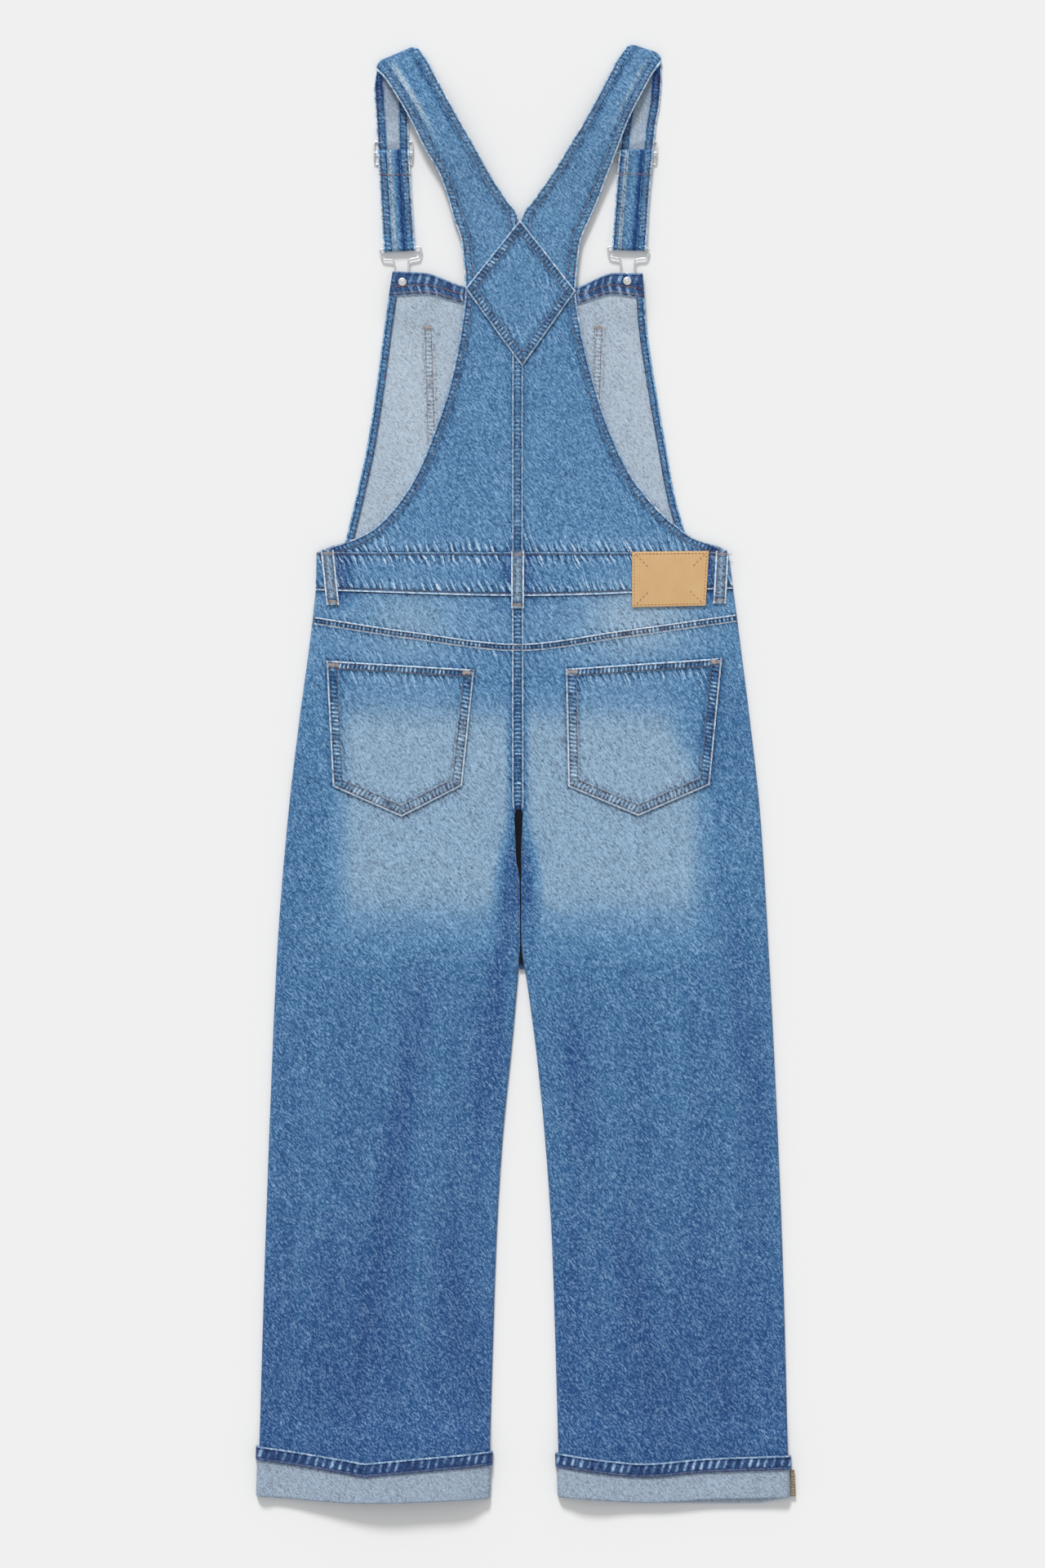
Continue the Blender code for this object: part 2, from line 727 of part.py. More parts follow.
def back_pocket(side):
    top_left, top_right, right_corner, point, left_corner = BACK_POCKETS[side]

    def side_x(start, end, y):
        return mix(start.x, end.x, (start.y - y) / (start.y - end.y))

    base = [Line(*left_corner), Line(*point), Line(*right_corner)]
    split = (point.x - left_corner.x) / (right_corner.x - left_corner.x)
    columns = [split * t for t in steps(5)] + steps(5, split)[1:]
    grid = field(
        lambda y: side_x(top_left, left_corner, y),
        lambda y: side_x(top_right, right_corner, y),
        lambda x: straight(base, x),
        lambda x: straight([Line(*top_left), Line(*top_right)], x),
        steps(6),
        columns,
        crown,
    )
    layer(f"back_pocket_{side}", grid, GAP, GAP + CLOTH, DENIM)


def side_height(x, y):
    """The crown, turned down a little where it nears a side edge."""
    away = min(x - left_of(BACK_EDGES, y), right_of(BACK_EDGES, y) - x)
    near = 1.0 - min(max(away, 2.0), SIDE_ROUND) / SIDE_ROUND
    return REST + (crown(x, y) - REST) * sqrt(1.0 - near**2)


def belt_loop(loop):
    grid = []
    for v in LOOP_ROWS:
        y = mix(loop.y_low, loop.y_top, v)
        middle = mix(loop.x_low, loop.x_top, v)
        row = []
        for u in (-0.5, -0.25, 0.0, 0.25, 0.5):
            x = middle + LOOP_WIDTH * u
            row.append((x, y, side_height(x, min(y, WAIST_TOP)) + straight(LOOP_ARCH, v)))
        grid.append(row)
    layer(f"belt_loop_{loop.name}", grid, 0.0, LOOP_CLOTH, DENIM)


def leather_patch():
    low_left, low_right, top_right, top_left = LEATHER_CORNERS
    grid = []
    for v in steps(6):
        row = []
        for u in steps(6):
            x = mix(mix(low_left.x, low_right.x, u), mix(top_left.x, top_right.x, u), v)
            y = mix(mix(low_left.y, low_right.y, u), mix(top_left.y, top_right.y, u), v)
            row.append((x, y, crown(x, min(y, WAIST_TOP))))
        grid.append(row)
    clear = WAISTBAND_EXTRA + GAP
    layer("leather_patch", grid, clear, clear + LEATHER, TAN_LEATHER)


# Turned-up cuffs


def fold_profile(top, low, depth):
    """Y and depth along a cuff's wall, from its upper edge down, round the fold and up inside."""
    radius = FOLD_RADIUS - depth
    turn = low + FOLD_RADIUS
    points = [(mix(top, turn, t), depth) for t in (0.0, 0.35, 0.7, 1.0)]
    for angle in (35.0, 70.0, 110.0, 145.0, 180.0):
        a = radians(angle)
        points.append((turn - radius * sin(a), FOLD_RADIUS - radius * cos(a)))
    points.append((turn + CUFF_LIP, 2 * FOLD_RADIUS - depth))
    return points


def cuff_back(side):
    left, right = leg_sides(side)
    middle = 9
    grids = []
    for depth in (0.0, CLOTH):
        grid = []
        for r in range(10):
            row = []
            for c in range(2 * len(EDGE_ANGLES) + middle + 1):
                x = mix(left(CUFF_MIDDLE), right(CUFF_MIDDLE), c / (2 * len(EDGE_ANGLES) + middle))
                for _ in range(2):
                    top, low = by_x(CUFF_TOP[side], x), cuff_low_line(side, x)
                    y, inside = fold_profile(top, low, depth)[r]
                    at_y = max(y, low + FOLD_RADIUS)
                    cuff = arch_row(
                        left(at_y) - CUFF_OUT,
                        right(at_y) + CUFF_OUT,
                        REST,
                        lambda x: crown(x, at_y) + CUFF_RAISE,
                        0.0,
                        middle,
                        (1.0, 1.0),
                        SIDE_ROUND + CUFF_OUT,
                    )
                    leg = arch_row(
                        left(at_y),
                        right(at_y),
                        back_low(at_y),
                        lambda x: crown(x, at_y),
                        CLOTH,
                        middle,
                        (1.0, 1.0),
                    )
                    share = inside / (2 * FOLD_RADIUS)
                    x = mix(cuff[c][0], leg[c][0], share)
                row.append((x, y, mix(cuff[c][1], leg[c][1], share)))
            grid.append(row)
        grids.append(grid)
    wall(f"cuff_back_{side}", grids[0], grids[1], DENIM_REVERSE)


def cuff_front(side):
    left, right = leg_sides(side)
    tuck = CUFF_OUT + CUFF_OUT
    grids = []
    for depth in (0.0, CLOTH):
        grid = []
        for r in range(10):
            row = []
            for u in steps(8):
                x = mix(left(CUFF_MIDDLE), right(CUFF_MIDDLE), u)
                top = by_x(CUFF_TOP[side], x) - HEM_WIDTH - GAP
                y, inside = fold_profile(top, by_x(CUFF_FRONT_LOW[side], x), depth)[r]
                share = inside / (2 * FOLD_RADIUS)
                start = left(y) - CUFF_OUT + tuck * share
                end = right(y) + CUFF_OUT - tuck * share
                row.append((mix(start, end, u), y, inside))
            grid.append(row)
        grids.append(grid)
    wall(f"cuff_front_{side}", grids[0], grids[1], DENIM_REVERSE)


def hem_back(side):
    left, right = leg_sides(side)
    out = CUFF_OUT + GAP + HEM_CLOTH
    middle = 9
    outer, inner = [], []
    for v in steps(3):
        for depth, grid in ((0.0, outer), (HEM_CLOTH, inner)):
            row = []
            for c in range(2 * len(EDGE_ANGLES) + middle + 1):
                x = mix(left(HEM_MIDDLE), right(HEM_MIDDLE), c / (2 * len(EDGE_ANGLES) + middle))
                for _ in range(2):
                    y = by_x(CUFF_TOP[side], x) - HEM_WIDTH * v
                    points = arch_row(
                        left(y) - out,
                        right(y) + out,
                        REST,
                        lambda x: crown(x, y) + CUFF_RAISE + GAP + HEM_CLOTH,
                        depth,
                        middle,
                        (1.0, 1.0),
                        SIDE_ROUND + out,
                    )
                    x = points[c][0]
                row.append((x, y, points[c][1]))
            grid.append(row)
    wall(f"hem_back_{side}", outer, inner, DENIM_DARK)


def hem_front(side):
    left, right = leg_sides(side)
    grid = field(
        lambda y: left(y) - CUFF_OUT,
        lambda y: right(y) + CUFF_OUT,
        lambda x: by_x(CUFF_TOP[side], x) - HEM_WIDTH,
        lambda x: by_x(CUFF_TOP[side], x),
        steps(2),
        steps(8),
        lambda x, y: 0.0,
    )
    layer(f"hem_front_{side}", grid, 0.0, CLOTH, DENIM_DARK)


def seam_end():
    """The overlocked seam allowance that stands out of the right cuff's outer side."""
    start = right_of(BACK_EDGES, CUFF_MIDDLE) + CUFF_OUT + GAP
    grid = []
    for v in steps(4):
        y = mix(SEAM_END_TOP, SEAM_END_LOW, v)
        width = SEAM_END_WIDTH * mix(0.75, 1.0, v)
        grid.append([(start + width * u, y, REST) for u in steps(2)])
    layer("seam_end_right", grid, 0.0, SEAM_END_CLOTH, THREAD_EDGE)


# Straps and their fittings


def bar_y(side, x):
    """Height up the garment of the buckle's bar, which tilts with its button end."""
    button = BUTTONS[side]
    turn = radians(button.tilt)
    middle_x = button.x - BAR_AWAY * sin(turn)
    return button.y + BAR_AWAY * cos(turn) + (x - middle_x) * sin(turn) / cos(turn)


def strap(side):
    table = STRAPS[side]
    shares = steps(4)
    stations = []  # rows of (outer face point, inner face point) across the strap

    def across(start, end, height):
        row = []
        for u in shares:
            x, y = mix(start[0], end[0], u), mix(start[1], end[1], u)
            row.append(height(x, y))
        stations.append(row)

    for run in table["back"]:
        across(
            (run.outer_x, run.outer_y),
            (run.inner_x, run.inner_y),
            lambda x, y: ((x, y, crown(x, y)), (x, y, crown(x, y) - STRAP_CLOTH)),
        )
    fold = table["fold"]
    run_x, run_y = fold.inner_x - fold.outer_x, fold.inner_y - fold.outer_y
    length = hypot(run_x, run_y)
    away = (-run_y / length, run_x / length)
    if away[1] < 0:
        away = (-away[0], -away[1])
    for angle in range(0, 181, TURN_STEP):
        a = radians(angle)

        def over_shoulder(x, y):
            faces = []
            for radius in (SHOULDER_RADIUS, SHOULDER_RADIUS - STRAP_CLOTH):
                reach = radius * sin(a) - SHOULDER_RADIUS
                z = SHOULDER_RADIUS + radius * cos(a)
                faces.append((x + away[0] * reach, y + away[1] * reach, z))
            return tuple(faces)

        across((fold.outer_x, fold.outer_y), (fold.inner_x, fold.inner_y), over_shoulder)
    for run in table["front"]:
        across(
            (run.outer_x, run.outer_y),
            (run.inner_x, run.inner_y),
            lambda x, y: (
                (x, y, straight(FRONT_RUN_UNDER, y)),
                (x, y, straight(FRONT_RUN_UNDER, y) + STRAP_CLOTH),
            ),
        )
    end_outer, end_inner = table["end"]
    for angle in range(0, 181, TURN_STEP):
        a = radians(angle)

        def round_bar(x, y):
            faces = []
            for radius in (BUCKLE_RADIUS, BUCKLE_RADIUS - STRAP_CLOTH):
                faces.append((x, y - radius * sin(a), BUCKLE_RADIUS - radius * cos(a)))
            return tuple(faces)

        across((end_outer, bar_y(side, end_outer)), (end_inner, bar_y(side, end_inner)), round_bar)
    for place in RETURN_TOP:
        edges = min(table["front"], key=lambda run: abs(run.outer_y - place.y))
        across(
            (edges.outer_x, place.y),
            (edges.inner_x, place.y),
            lambda x, y: ((x, y, place.z), (x, y, place.z - STRAP_CLOTH)),
        )
    top_radius = RETURN_TOP[-1].z - SLIDER_MIDDLE_Z
    edges = table["front"][SLIDER_RUN]
    for angle in range(TURN_STEP, 91, TURN_STEP):
        a = radians(angle)

        def round_slider(x, y):
            faces = []
            for radius in (top_radius, top_radius - STRAP_CLOTH):
                faces.append((x, y + radius * sin(a), SLIDER_MIDDLE_Z + radius * cos(a)))
            return tuple(faces)

        across((edges.outer_x, SLIDER_Y[1]), (edges.inner_x, SLIDER_Y[1]), round_slider)
    outer = [[faces[0] for faces in row] for row in stations]
    inner = [[faces[1] for faces in row] for row in stations]
    wall(f"strap_{side}", outer, inner, DENIM)


def tube(name, path, radius, sides, closed):
    """A wire of round section along a path."""
    built = bmesh.new()
    points = [np.array(p, float) for p in path]
    count = len(points)
    rings = []
    for i, point in enumerate(points):
        before = points[i - 1] if closed or i > 0 else point
        after = points[(i + 1) % count] if closed or i < count - 1 else point
        ahead = (after - before) / np.linalg.norm(after - before)
        aside = np.cross(ahead, (0.0, 0.0, 1.0))
        aside = aside / np.linalg.norm(aside)
        above = np.cross(aside, ahead)
        ring = []
        for k in range(sides):
            a = 2 * pi * k / sides
            ring.append(built.verts.new(point + radius * (cos(a) * aside + sin(a) * above)))
        rings.append(ring)
    for i in range(count if closed else count - 1):
        here, there = rings[i], rings[(i + 1) % count]
        for k in range(sides):
            m = (k + 1) % sides
            built.faces.new((here[k], here[m], there[m], there[k]))
    if not closed:
        built.faces.new(rings[0])
        built.faces.new(rings[-1])
    return finish(name, built, NICKEL, 0.28, 1.0)


def rounded(points, rounds=2):
    """A closed path with its corners cut."""
    for _ in range(rounds):
        cut = []
        for i, point in enumerate(points):
            after = points[(i + 1) % len(points)]
            cut.append(tuple(mix(a, b, 0.25) for a, b in zip(point, after)))
            cut.append(tuple(mix(a, b, 0.75) for a, b in zip(point, after)))
        points = cut
    return points


def buckle(side):
    """A wire buckle: a bar for the strap, two shoulders and a round end for the button."""
    button = BUTTONS[side]
    half = [(row.x, row.y) for row in BUCKLE_HALF]
    start = radians(35.0)
    turns = [start + (2 * pi - 2 * start) * t for t in steps(8)]
    round_end = [(BUCKLE_ROUND * sin(a), BUCKLE_ROUND * cos(a)) for a in turns]
    flat = half + round_end[1:-1] + [(-x, y) for x, y in reversed(half)]
    turn = radians(button.tilt)
    path = []
    for x, y in rounded(flat, 1):
        height = mix(BUCKLE_LOW, BUCKLE_RADIUS, ease(BUTTON_HEAD, BAR_AWAY, y))
        turned_x = button.x + x * cos(turn) - y * sin(turn)
        turned_y = button.y + x * sin(turn) + y * cos(turn)
        path.append((turned_x, turned_y, height))
    tube(f"buckle_{side}", path, WIRE, 7, True)


def slider(side):
    """A wire frame under the strap's front run, with a middle bar that holds the strap's end."""
    run = STRAPS[side]["front"][SLIDER_RUN]
    low_x = min(run.outer_x, run.inner_x) - SLIDER_SIDE
    high_x = max(run.outer_x, run.inner_x) + SLIDER_SIDE
    top, middle, bottom = SLIDER_Y
    floor = SLIDER_WIRE + 0.1
    corners = [
        (low_x, top, floor),
        (low_x + SLIDER_CORNER, top, floor),
        (high_x - SLIDER_CORNER, top, floor),
        (high_x, top, floor),
        (high_x, middle, SLIDER_MIDDLE_Z),
        (high_x, bottom, floor),
        (high_x - SLIDER_CORNER, bottom, floor),
        (low_x + SLIDER_CORNER, bottom, floor),
        (low_x, bottom, floor),
        (low_x, middle, SLIDER_MIDDLE_Z),
    ]
    frame = tube(f"slider_{side}", rounded(corners, 1), SLIDER_WIRE, 8, True)
    ends = [(low_x, middle, SLIDER_MIDDLE_Z - 0.1), (high_x, middle, SLIDER_MIDDLE_Z - 0.1)]
    bar = tube("middle_bar", ends, SLIDER_WIRE * 0.97, 7, False)
    bar.hide_render = True
    bar.display_type = "WIRE"
    join = frame.modifiers.new("middle bar", "BOOLEAN")
    join.operation = "UNION"
    join.object = bar


def turned(name, centre, profile, sides):
    """A round piece turned about a vertical axis, from rows of radius and height."""
    built = bmesh.new()
    rings = []
    for radius, z in profile:
        ring = []
        for k in range(sides):
            a = 2 * pi * k / sides
            ring.append(built.verts.new((centre[0] + radius * cos(a), centre[1] + radius * sin(a), z)))
        rings.append(ring)
    for here, there in zip(rings[:-1], rings[1:]):
        for k in range(sides):
            m = (k + 1) % sides
            built.faces.new((here[k], here[m], there[m], there[k]))
    built.faces.new(rings[0])
    built.faces.new(rings[-1])
    return finish(name, built, NICKEL, 0.3, 1.0)


def button_and_tack(side):
    button = BUTTONS[side]
    centre = (button.x, button.y)
    head = [(BUTTON_HEAD * 0.8, 0.0), (BUTTON_HEAD, 0.4), (BUTTON_HEAD, 1.0), (BUTTON_HEAD * 0.9, 1.4)]
    shank = [(BUTTON_SHANK, 1.4), (BUTTON_SHANK, BUTTON_UNDER - GAP)]
    turned(f"button_{side}", centre, head + shank, 20)
    rest = BUTTON_UNDER + CLOTH + GAP + HEM_CLOTH + GAP
    tack = [
        (TACK_RADIUS, rest),
        (TACK_RADIUS, rest + 0.5),
        (TACK_RADIUS * 0.8, rest + 1.0),
        (TACK_RADIUS * 0.4, rest + 1.2),
    ]
    turned(f"tack_{side}", centre, tack, 20)


front_waistband()
front_bib()
bib_pocket()
back_waistband()
diamond_patch()
leather_patch()
seam_end()
for belt in BELT_LOOPS:
    belt_loop(belt)
for hand in ("left", "right"):
    front_leg(hand)
    back_leg(hand)
    yoke(hand)
    back_bib(hand)
    back_pocket(hand)
    cuff_back(hand)
    cuff_front(hand)
    hem_back(hand)
    hem_front(hand)
    strap(hand)
    buckle(hand)
    slider(hand)
    button_and_tack(hand)
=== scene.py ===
import json
from math import cos, hypot, pi, radians, sin

import bmesh
import bpy
import numpy as np
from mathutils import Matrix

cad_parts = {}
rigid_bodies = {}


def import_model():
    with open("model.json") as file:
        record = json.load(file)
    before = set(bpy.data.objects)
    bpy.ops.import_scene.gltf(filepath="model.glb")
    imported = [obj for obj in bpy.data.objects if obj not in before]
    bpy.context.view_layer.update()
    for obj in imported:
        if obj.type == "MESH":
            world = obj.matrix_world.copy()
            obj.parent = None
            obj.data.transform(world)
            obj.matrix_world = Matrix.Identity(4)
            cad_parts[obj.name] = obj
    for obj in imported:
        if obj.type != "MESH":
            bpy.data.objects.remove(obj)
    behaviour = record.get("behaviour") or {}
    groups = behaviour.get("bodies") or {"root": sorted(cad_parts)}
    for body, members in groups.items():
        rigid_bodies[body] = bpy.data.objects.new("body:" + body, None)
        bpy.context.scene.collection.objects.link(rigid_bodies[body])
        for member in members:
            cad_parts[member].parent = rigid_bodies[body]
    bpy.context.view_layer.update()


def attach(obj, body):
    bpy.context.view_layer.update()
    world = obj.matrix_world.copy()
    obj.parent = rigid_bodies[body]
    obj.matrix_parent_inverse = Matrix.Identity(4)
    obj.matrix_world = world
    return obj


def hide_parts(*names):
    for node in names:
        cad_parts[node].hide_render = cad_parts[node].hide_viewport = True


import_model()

# all sizes are in millimetres until a mesh is made
mm = 0.001
print("stage: shared cloth shape")

cloth = {
    "thick": 1.4,
    "gap": 0.3,
    "hemThick": 1.2,
    "strapThick": 1.8,
    "leatherThick": 1.6,
    "loopThick": 1.6,
    "waistbandExtra": 0.8,
    "sideRound": 4.0,
    "sideRise": 3.2,
    "crown": 1.7,
    "cuffSpace": 0.8,
    "cuffOut": 1.8,
    "cuffLip": 4.0,
    "legEndGap": 0.6,
    "hemWidth": 13.5,
    "waistTop": 214.4,
    "backBibTop": 470.0,
    "buttonUnder": 4.1,
}
restHeight = cloth["thick"] + cloth["gap"]
foldRadius = cloth["thick"] + cloth["cuffSpace"] / 2
cuffRaise = cloth["thick"] + cloth["cuffSpace"]

# outlines as rows of y, left x, right x
backEdges = [
    (214.4, -203.1, 197.1), (171.5, -204.3, 202.7), (115.9, -211.0, 209.8), (52.4, -219.7, 217.8),
    (-42.9, -230.9, 228.1), (-169.9, -241.2, 236.0), (-328.7, -248.3, 244.0),
    (-487.5, -253.9, 250.3), (-720.0, -260.6, 256.2),
]
innerEdges = [
    (220.0, -7.85, -7.55), (0.0, -7.25, -6.95), (-28.0, -7.6, -5.0), (-42.0, -10.8, -2.8),
    (-66.0, -9.7, -4.0), (-84.0, -8.8, -4.6), (-97.0, -6.4, -4.4), (-108.0, -5.3, -4.7),
    (-165.0, -4.9, -4.5), (-176.0, -5.6, -3.6), (-201.7, -7.7, 1.0), (-265.2, -13.3, 9.7),
    (-360.5, -22.8, 19.3), (-455.8, -28.4, 25.6), (-551.0, -31.6, 28.8), (-720.0, -36.6, 33.4),
]
armholeEdges = [
    (536.7, -69.7, 62.1), (515.3, -62.5, 53.4), (470.0, -58.6, 48.6), (433.5, -62.5, 53.4),
    (374.8, -74.4, 67.7), (331.9, -88.7, 82.0), (289.8, -106.2, 101.8), (258.1, -126.8, 126.4),
    (236.6, -148.3, 150.3), (225.5, -169.7, 168.0), (219.5, -189.0, 187.5), (214.4, -201.5, 196.2),
]
bibCentre = [(470.0, -5.7, -5.4), (394.0, -7.85, -7.55), (214.4, -7.85, -7.55)]
frontBibEdges = [
    (486.7, -129.2, 113.7), (433.5, -137.2, 117.7), (374.0, -145.1, 126.4),
    (314.4, -154.6, 136.8), (266.8, -165.0, 145.5), (214.4, -177.7, 161.4),
]
# lines across the garment as rows of x, y
bibTop = [
    (-129.2, 486.7), (-99.8, 485.3), (-57.7, 471.6), (-8.0, 464.0),
    (49.4, 471.6), (87.5, 485.1), (113.7, 484.8),
]
bibHemDepth = [(-129.2, 24.0), (-57.7, 16.0), (49.4, 16.0), (113.7, 24.0)]
waistLow = [(-203.9, 177.1), (-3.0, 171.5), (202.7, 178.7)]
yokeLow = [(-206.5, 147.7), (-110.0, 133.0), (-7.7, 121.5), (95.0, 134.5), (206.0, 150.1)]
cuffTop = {
    "left": [
        (-262.0, -653.5), (-210.0, -661.2), (-170.0, -667.5), (-156.2, -669.6), (-140.0, -668.2),
        (-90.0, -663.8), (-34.7, -659.0),
    ],
    "right": [(31.0, -660.6), (84.0, -668.0), (113.7, -670.6), (179.6, -665.6), (258.0, -663.0)],
}
cuffLow = {
    "left": [(-262.4, -702.7), (-156.2, -709.0), (-35.0, -705.1)],
    "right": [(31.0, -703.5), (124.9, -709.0), (179.6, -705.9), (258.0, -704.3)],
}
cuffFrontLow = {
    "left": [(-262.4, -702.5), (-156.2, -708.6), (-35.0, -704.9)],
    "right": [(31.0, -703.3), (118.0, -709.6), (220.0, -709.6), (258.0, -704.1)],
}
# y, height over the side rise, crown
backLift = [
    (720.0, -0.1, 0.0), (672.0, -0.1, 0.0), (640.0, 1.0, 0.0), (600.0, 1.1, 0.0),
    (540.0, 1.9, 0.4), (470.0, 1.9, 0.5), (425.0, 1.9, 0.8), (370.0, 0.4, 1.5), (214.4, 0.0, 1.7),
]
# x0, y0, x1, y1, depth, width
legFolds = [
    (-112.0, -190.0, -126.0, -350.0, 1.0, 24.0), (-126.0, -350.0, -160.0, -610.0, 1.5, 21.0),
    (-69.0, -430.0, -66.0, -600.0, 0.9, 18.0), (-215.0, -420.0, -222.0, -600.0, 0.7, 17.0),
    (72.0, -300.0, 84.0, -470.0, 1.0, 22.0), (104.0, -480.0, 132.0, -620.0, 1.4, 20.0),
    (200.0, -330.0, 232.0, -470.0, 0.9, 20.0),
]
# small creases: x0, y0, x1, y1, height (troughs are negative), width
creases = [
    (-3.0, -96.0, -34.0, -70.0, -0.7, 7.0), (-9.0, -104.0, -52.0, -128.0, 0.6, 8.0),
    (-10.0, -118.0, -60.0, -170.0, -0.6, 9.0), (-4.0, -96.0, 24.0, -66.0, -0.6, 7.0),
    (2.0, -106.0, 44.0, -136.0, 0.6, 8.0), (4.0, -122.0, 50.0, -176.0, -0.5, 9.0),
    (-40.0, -150.0, -150.0, -190.0, 0.4, 11.0), (38.0, -158.0, 130.0, -196.0, 0.4, 11.0),
    (-196.0, 92.0, -212.0, 20.0, -0.5, 6.0), (192.0, 92.0, 208.0, 24.0, -0.5, 6.0),
    (-30.0, 96.0, -22.0, 20.0, -0.5, 8.0), (20.0, 92.0, 14.0, 10.0, -0.4, 8.0),
    (-180.0, -420.0, -186.0, -560.0, 0.6, 9.0), (-100.0, -400.0, -104.0, -560.0, 0.6, 10.0),
    (-46.0, -330.0, -52.0, -470.0, -0.4, 8.0), (-150.0, -250.0, -158.0, -380.0, -0.4, 10.0),
    (56.0, -250.0, 60.0, -420.0, -0.4, 9.0), (150.0, -270.0, 158.0, -420.0, 0.5, 11.0),
    (170.0, -440.0, 186.0, -600.0, -0.5, 10.0), (88.0, -500.0, 96.0, -620.0, 0.5, 8.0),
    (-200.0, -180.0, -210.0, -300.0, -0.4, 9.0), (210.0, -180.0, 214.0, -320.0, 0.4, 9.0),
    (-60.0, 400.0, -40.0, 300.0, -0.3, 9.0), (52.0, 400.0, 40.0, 300.0, -0.3, 9.0),
    (-120.0, 262.0, -60.0, 246.0, -0.4, 7.0), (118.0, 262.0, 56.0, 244.0, -0.4, 7.0),
    (-170.0, 231.0, -100.0, 228.0, 0.3, 6.0), (160.0, 232.0, 90.0, 229.0, 0.3, 6.0),
    (-84.0, 350.0, -40.0, 356.0, 0.3, 8.0), (24.0, 330.0, 70.0, 322.0, 0.3, 8.0),
]
backPockets = {  # top left, top right, right corner, point, left corner
    "left": [(-193.5, 108.8), (-49.8, 100.0), (-61.7, -12.7), (-120.5, -42.9), (-187.2, -13.5)],
    "right": [(39.1, 100.8), (190.8, 111.2), (178.8, -11.9), (109.4, -42.1), (41.5, -13.5)],
}
bibPocket = {"top": 430.0, "bottom": 283.0, "left": -99.8, "right": 75.6, "margin": 1.5}
diamond = [(-3.4, 393.8), (48.6, 467.5), (-5.4, 536.7), (-58.6, 470.0)]
buttons = {"left": (-119.7, 476.4, 3.0), "right": (98.7, 477.2, -2.0)}  # x, y, tilt
barAway = 33.0


def mix(a, b, t):
    return a + (b - a) * t


def ease(start, end, value):
    t = np.clip((value - start) / (end - start), 0.0, 1.0)
    return t * t * (3.0 - 2.0 * t)


def curveOf(rows, column=1):
    # a smooth curve without overshoot: the first number of each row gives the one in the column
    table = sorted((row[0], row[column]) for row in rows)
    keys = np.array([row[0] for row in table])
    values = np.array([row[1] for row in table])
    spans = np.diff(keys)
    rises = np.diff(values) / spans
    slopes = [rises[0]]
    for before, after in zip(rises[:-1], rises[1:]):
        slopes.append(0.0 if before * after <= 0 else 2 * before * after / (before + after))
    slopes = np.array(slopes + [rises[-1]])

    def at(value):
        v = np.clip(value, keys[0], keys[-1])
        i = np.clip(np.searchsorted(keys, v, side="right") - 1, 0, len(spans) - 1)
        h = spans[i]
        t = (v - keys[i]) / h
        start = values[i] * (1 + 2 * t) * (1 - t) ** 2 + slopes[i] * h * t * (1 - t) ** 2
        return start + values[i + 1] * t * t * (3 - 2 * t) + slopes[i + 1] * h * t * t * (t - 1)

    return at


def bothCurves(rows):
    return curveOf(rows), curveOf(rows, 2)


backLeft, backRight = bothCurves(backEdges)
innerLeft, innerRight = bothCurves(innerEdges)
armLeft, armRight = bothCurves(armholeEdges)
bibInnerLeft, bibInnerRight = bothCurves(bibCentre)
frontLeft, frontRight = bothCurves(frontBibEdges)
liftOf, swellOf = bothCurves(backLift)
bibTopLine, waistLine, yokeLine = curveOf(bibTop), curveOf(waistLow), curveOf(yokeLow)
cuffTopLine, cuffLowLine, cuffFrontLine = [
    {side: curveOf(rows) for side, rows in lines.items()} for lines in (cuffTop, cuffLow, cuffFrontLow)
]


def cuffLift(y):
    return cuffRaise * ease(-625.0, -650.0, y)


def backLow(y):
    return restHeight + cuffLift(y)


def ridges(rows, x, y, stretch):
    total = np.zeros(np.broadcast(x, y).shape)
    for x0, y0, x1, y1, height, width in rows:
        runX, runY = x1 - x0, y1 - y0
        share = ((x - x0) * runX + (y - y0) * runY) / (runX**2 + runY**2)
        near = np.clip(share, 0.0, 1.0)
        away = np.hypot(x - x0 - near * runX, (y - y0 - near * runY) * stretch)
        total = total + height * 2.0 ** (-((away / width) ** 2) * 2.0)
    return total


def swellShare(x, left, right):
    t = np.clip((x - left) / (right - left), 0.0, 1.0)
    return 1.0 - (2.0 * t - 1.0) ** 2


def plainCrown(x, y):
    # outer face of the back layer, without the rounding of its sides
    x, y = np.broadcast_arrays(np.asarray(x, float), np.asarray(y, float))
    upper = restHeight + cloth["sideRise"] + liftOf(y) + swellOf(y) * swellShare(x, armLeft(y), armRight(y))
    left, right, inLeft, inRight = backLeft(y), backRight(y), innerLeft(y), innerRight(y)
    leftLeg = swellShare(x, left, inLeft)
    rightLeg = swellShare(x, inRight, right)
    leg = np.where(x < (inLeft + inRight) / 2, leftLeg, rightLeg)
    share = mix(swellShare(x, left, right), leg, ease(30.0, -140.0, y))
    lower = backLow(y) + cloth["sideRise"] + cloth["crown"] * share - ridges(legFolds, x, y, 0.45)
    return np.where(y > cloth["waistTop"], upper, lower)


# the leg ends stand open a little: x, half width, height
legOpen = [
    (-132.0, 56.0, 8.4), (-66.0, 32.0, 5.4), (-240.0, 40.0, -2.6), (60.0, 30.0, 3.4), (110.0, 30.0, -1.0),
    (180.0, 60.0, -2.4),
]


def crown(x, y):
    opened = np.zeros(np.broadcast(x, y).shape)
    for atX, half, height in legOpen:
        opened = opened + height * np.exp(-(((x - atX) / half) ** 2))
    inner = np.where(x < 0, innerLeft(y) - x, x - innerRight(y))
    toSide = np.minimum(np.minimum(x - backLeft(y), backRight(y) - x), inner)
    opened = opened * ease(-570.0, -702.0, y) * ease(-1.0, 20.0, toSide)
    return plainCrown(x, y) + ridges(creases, x, y, 1.0) + opened


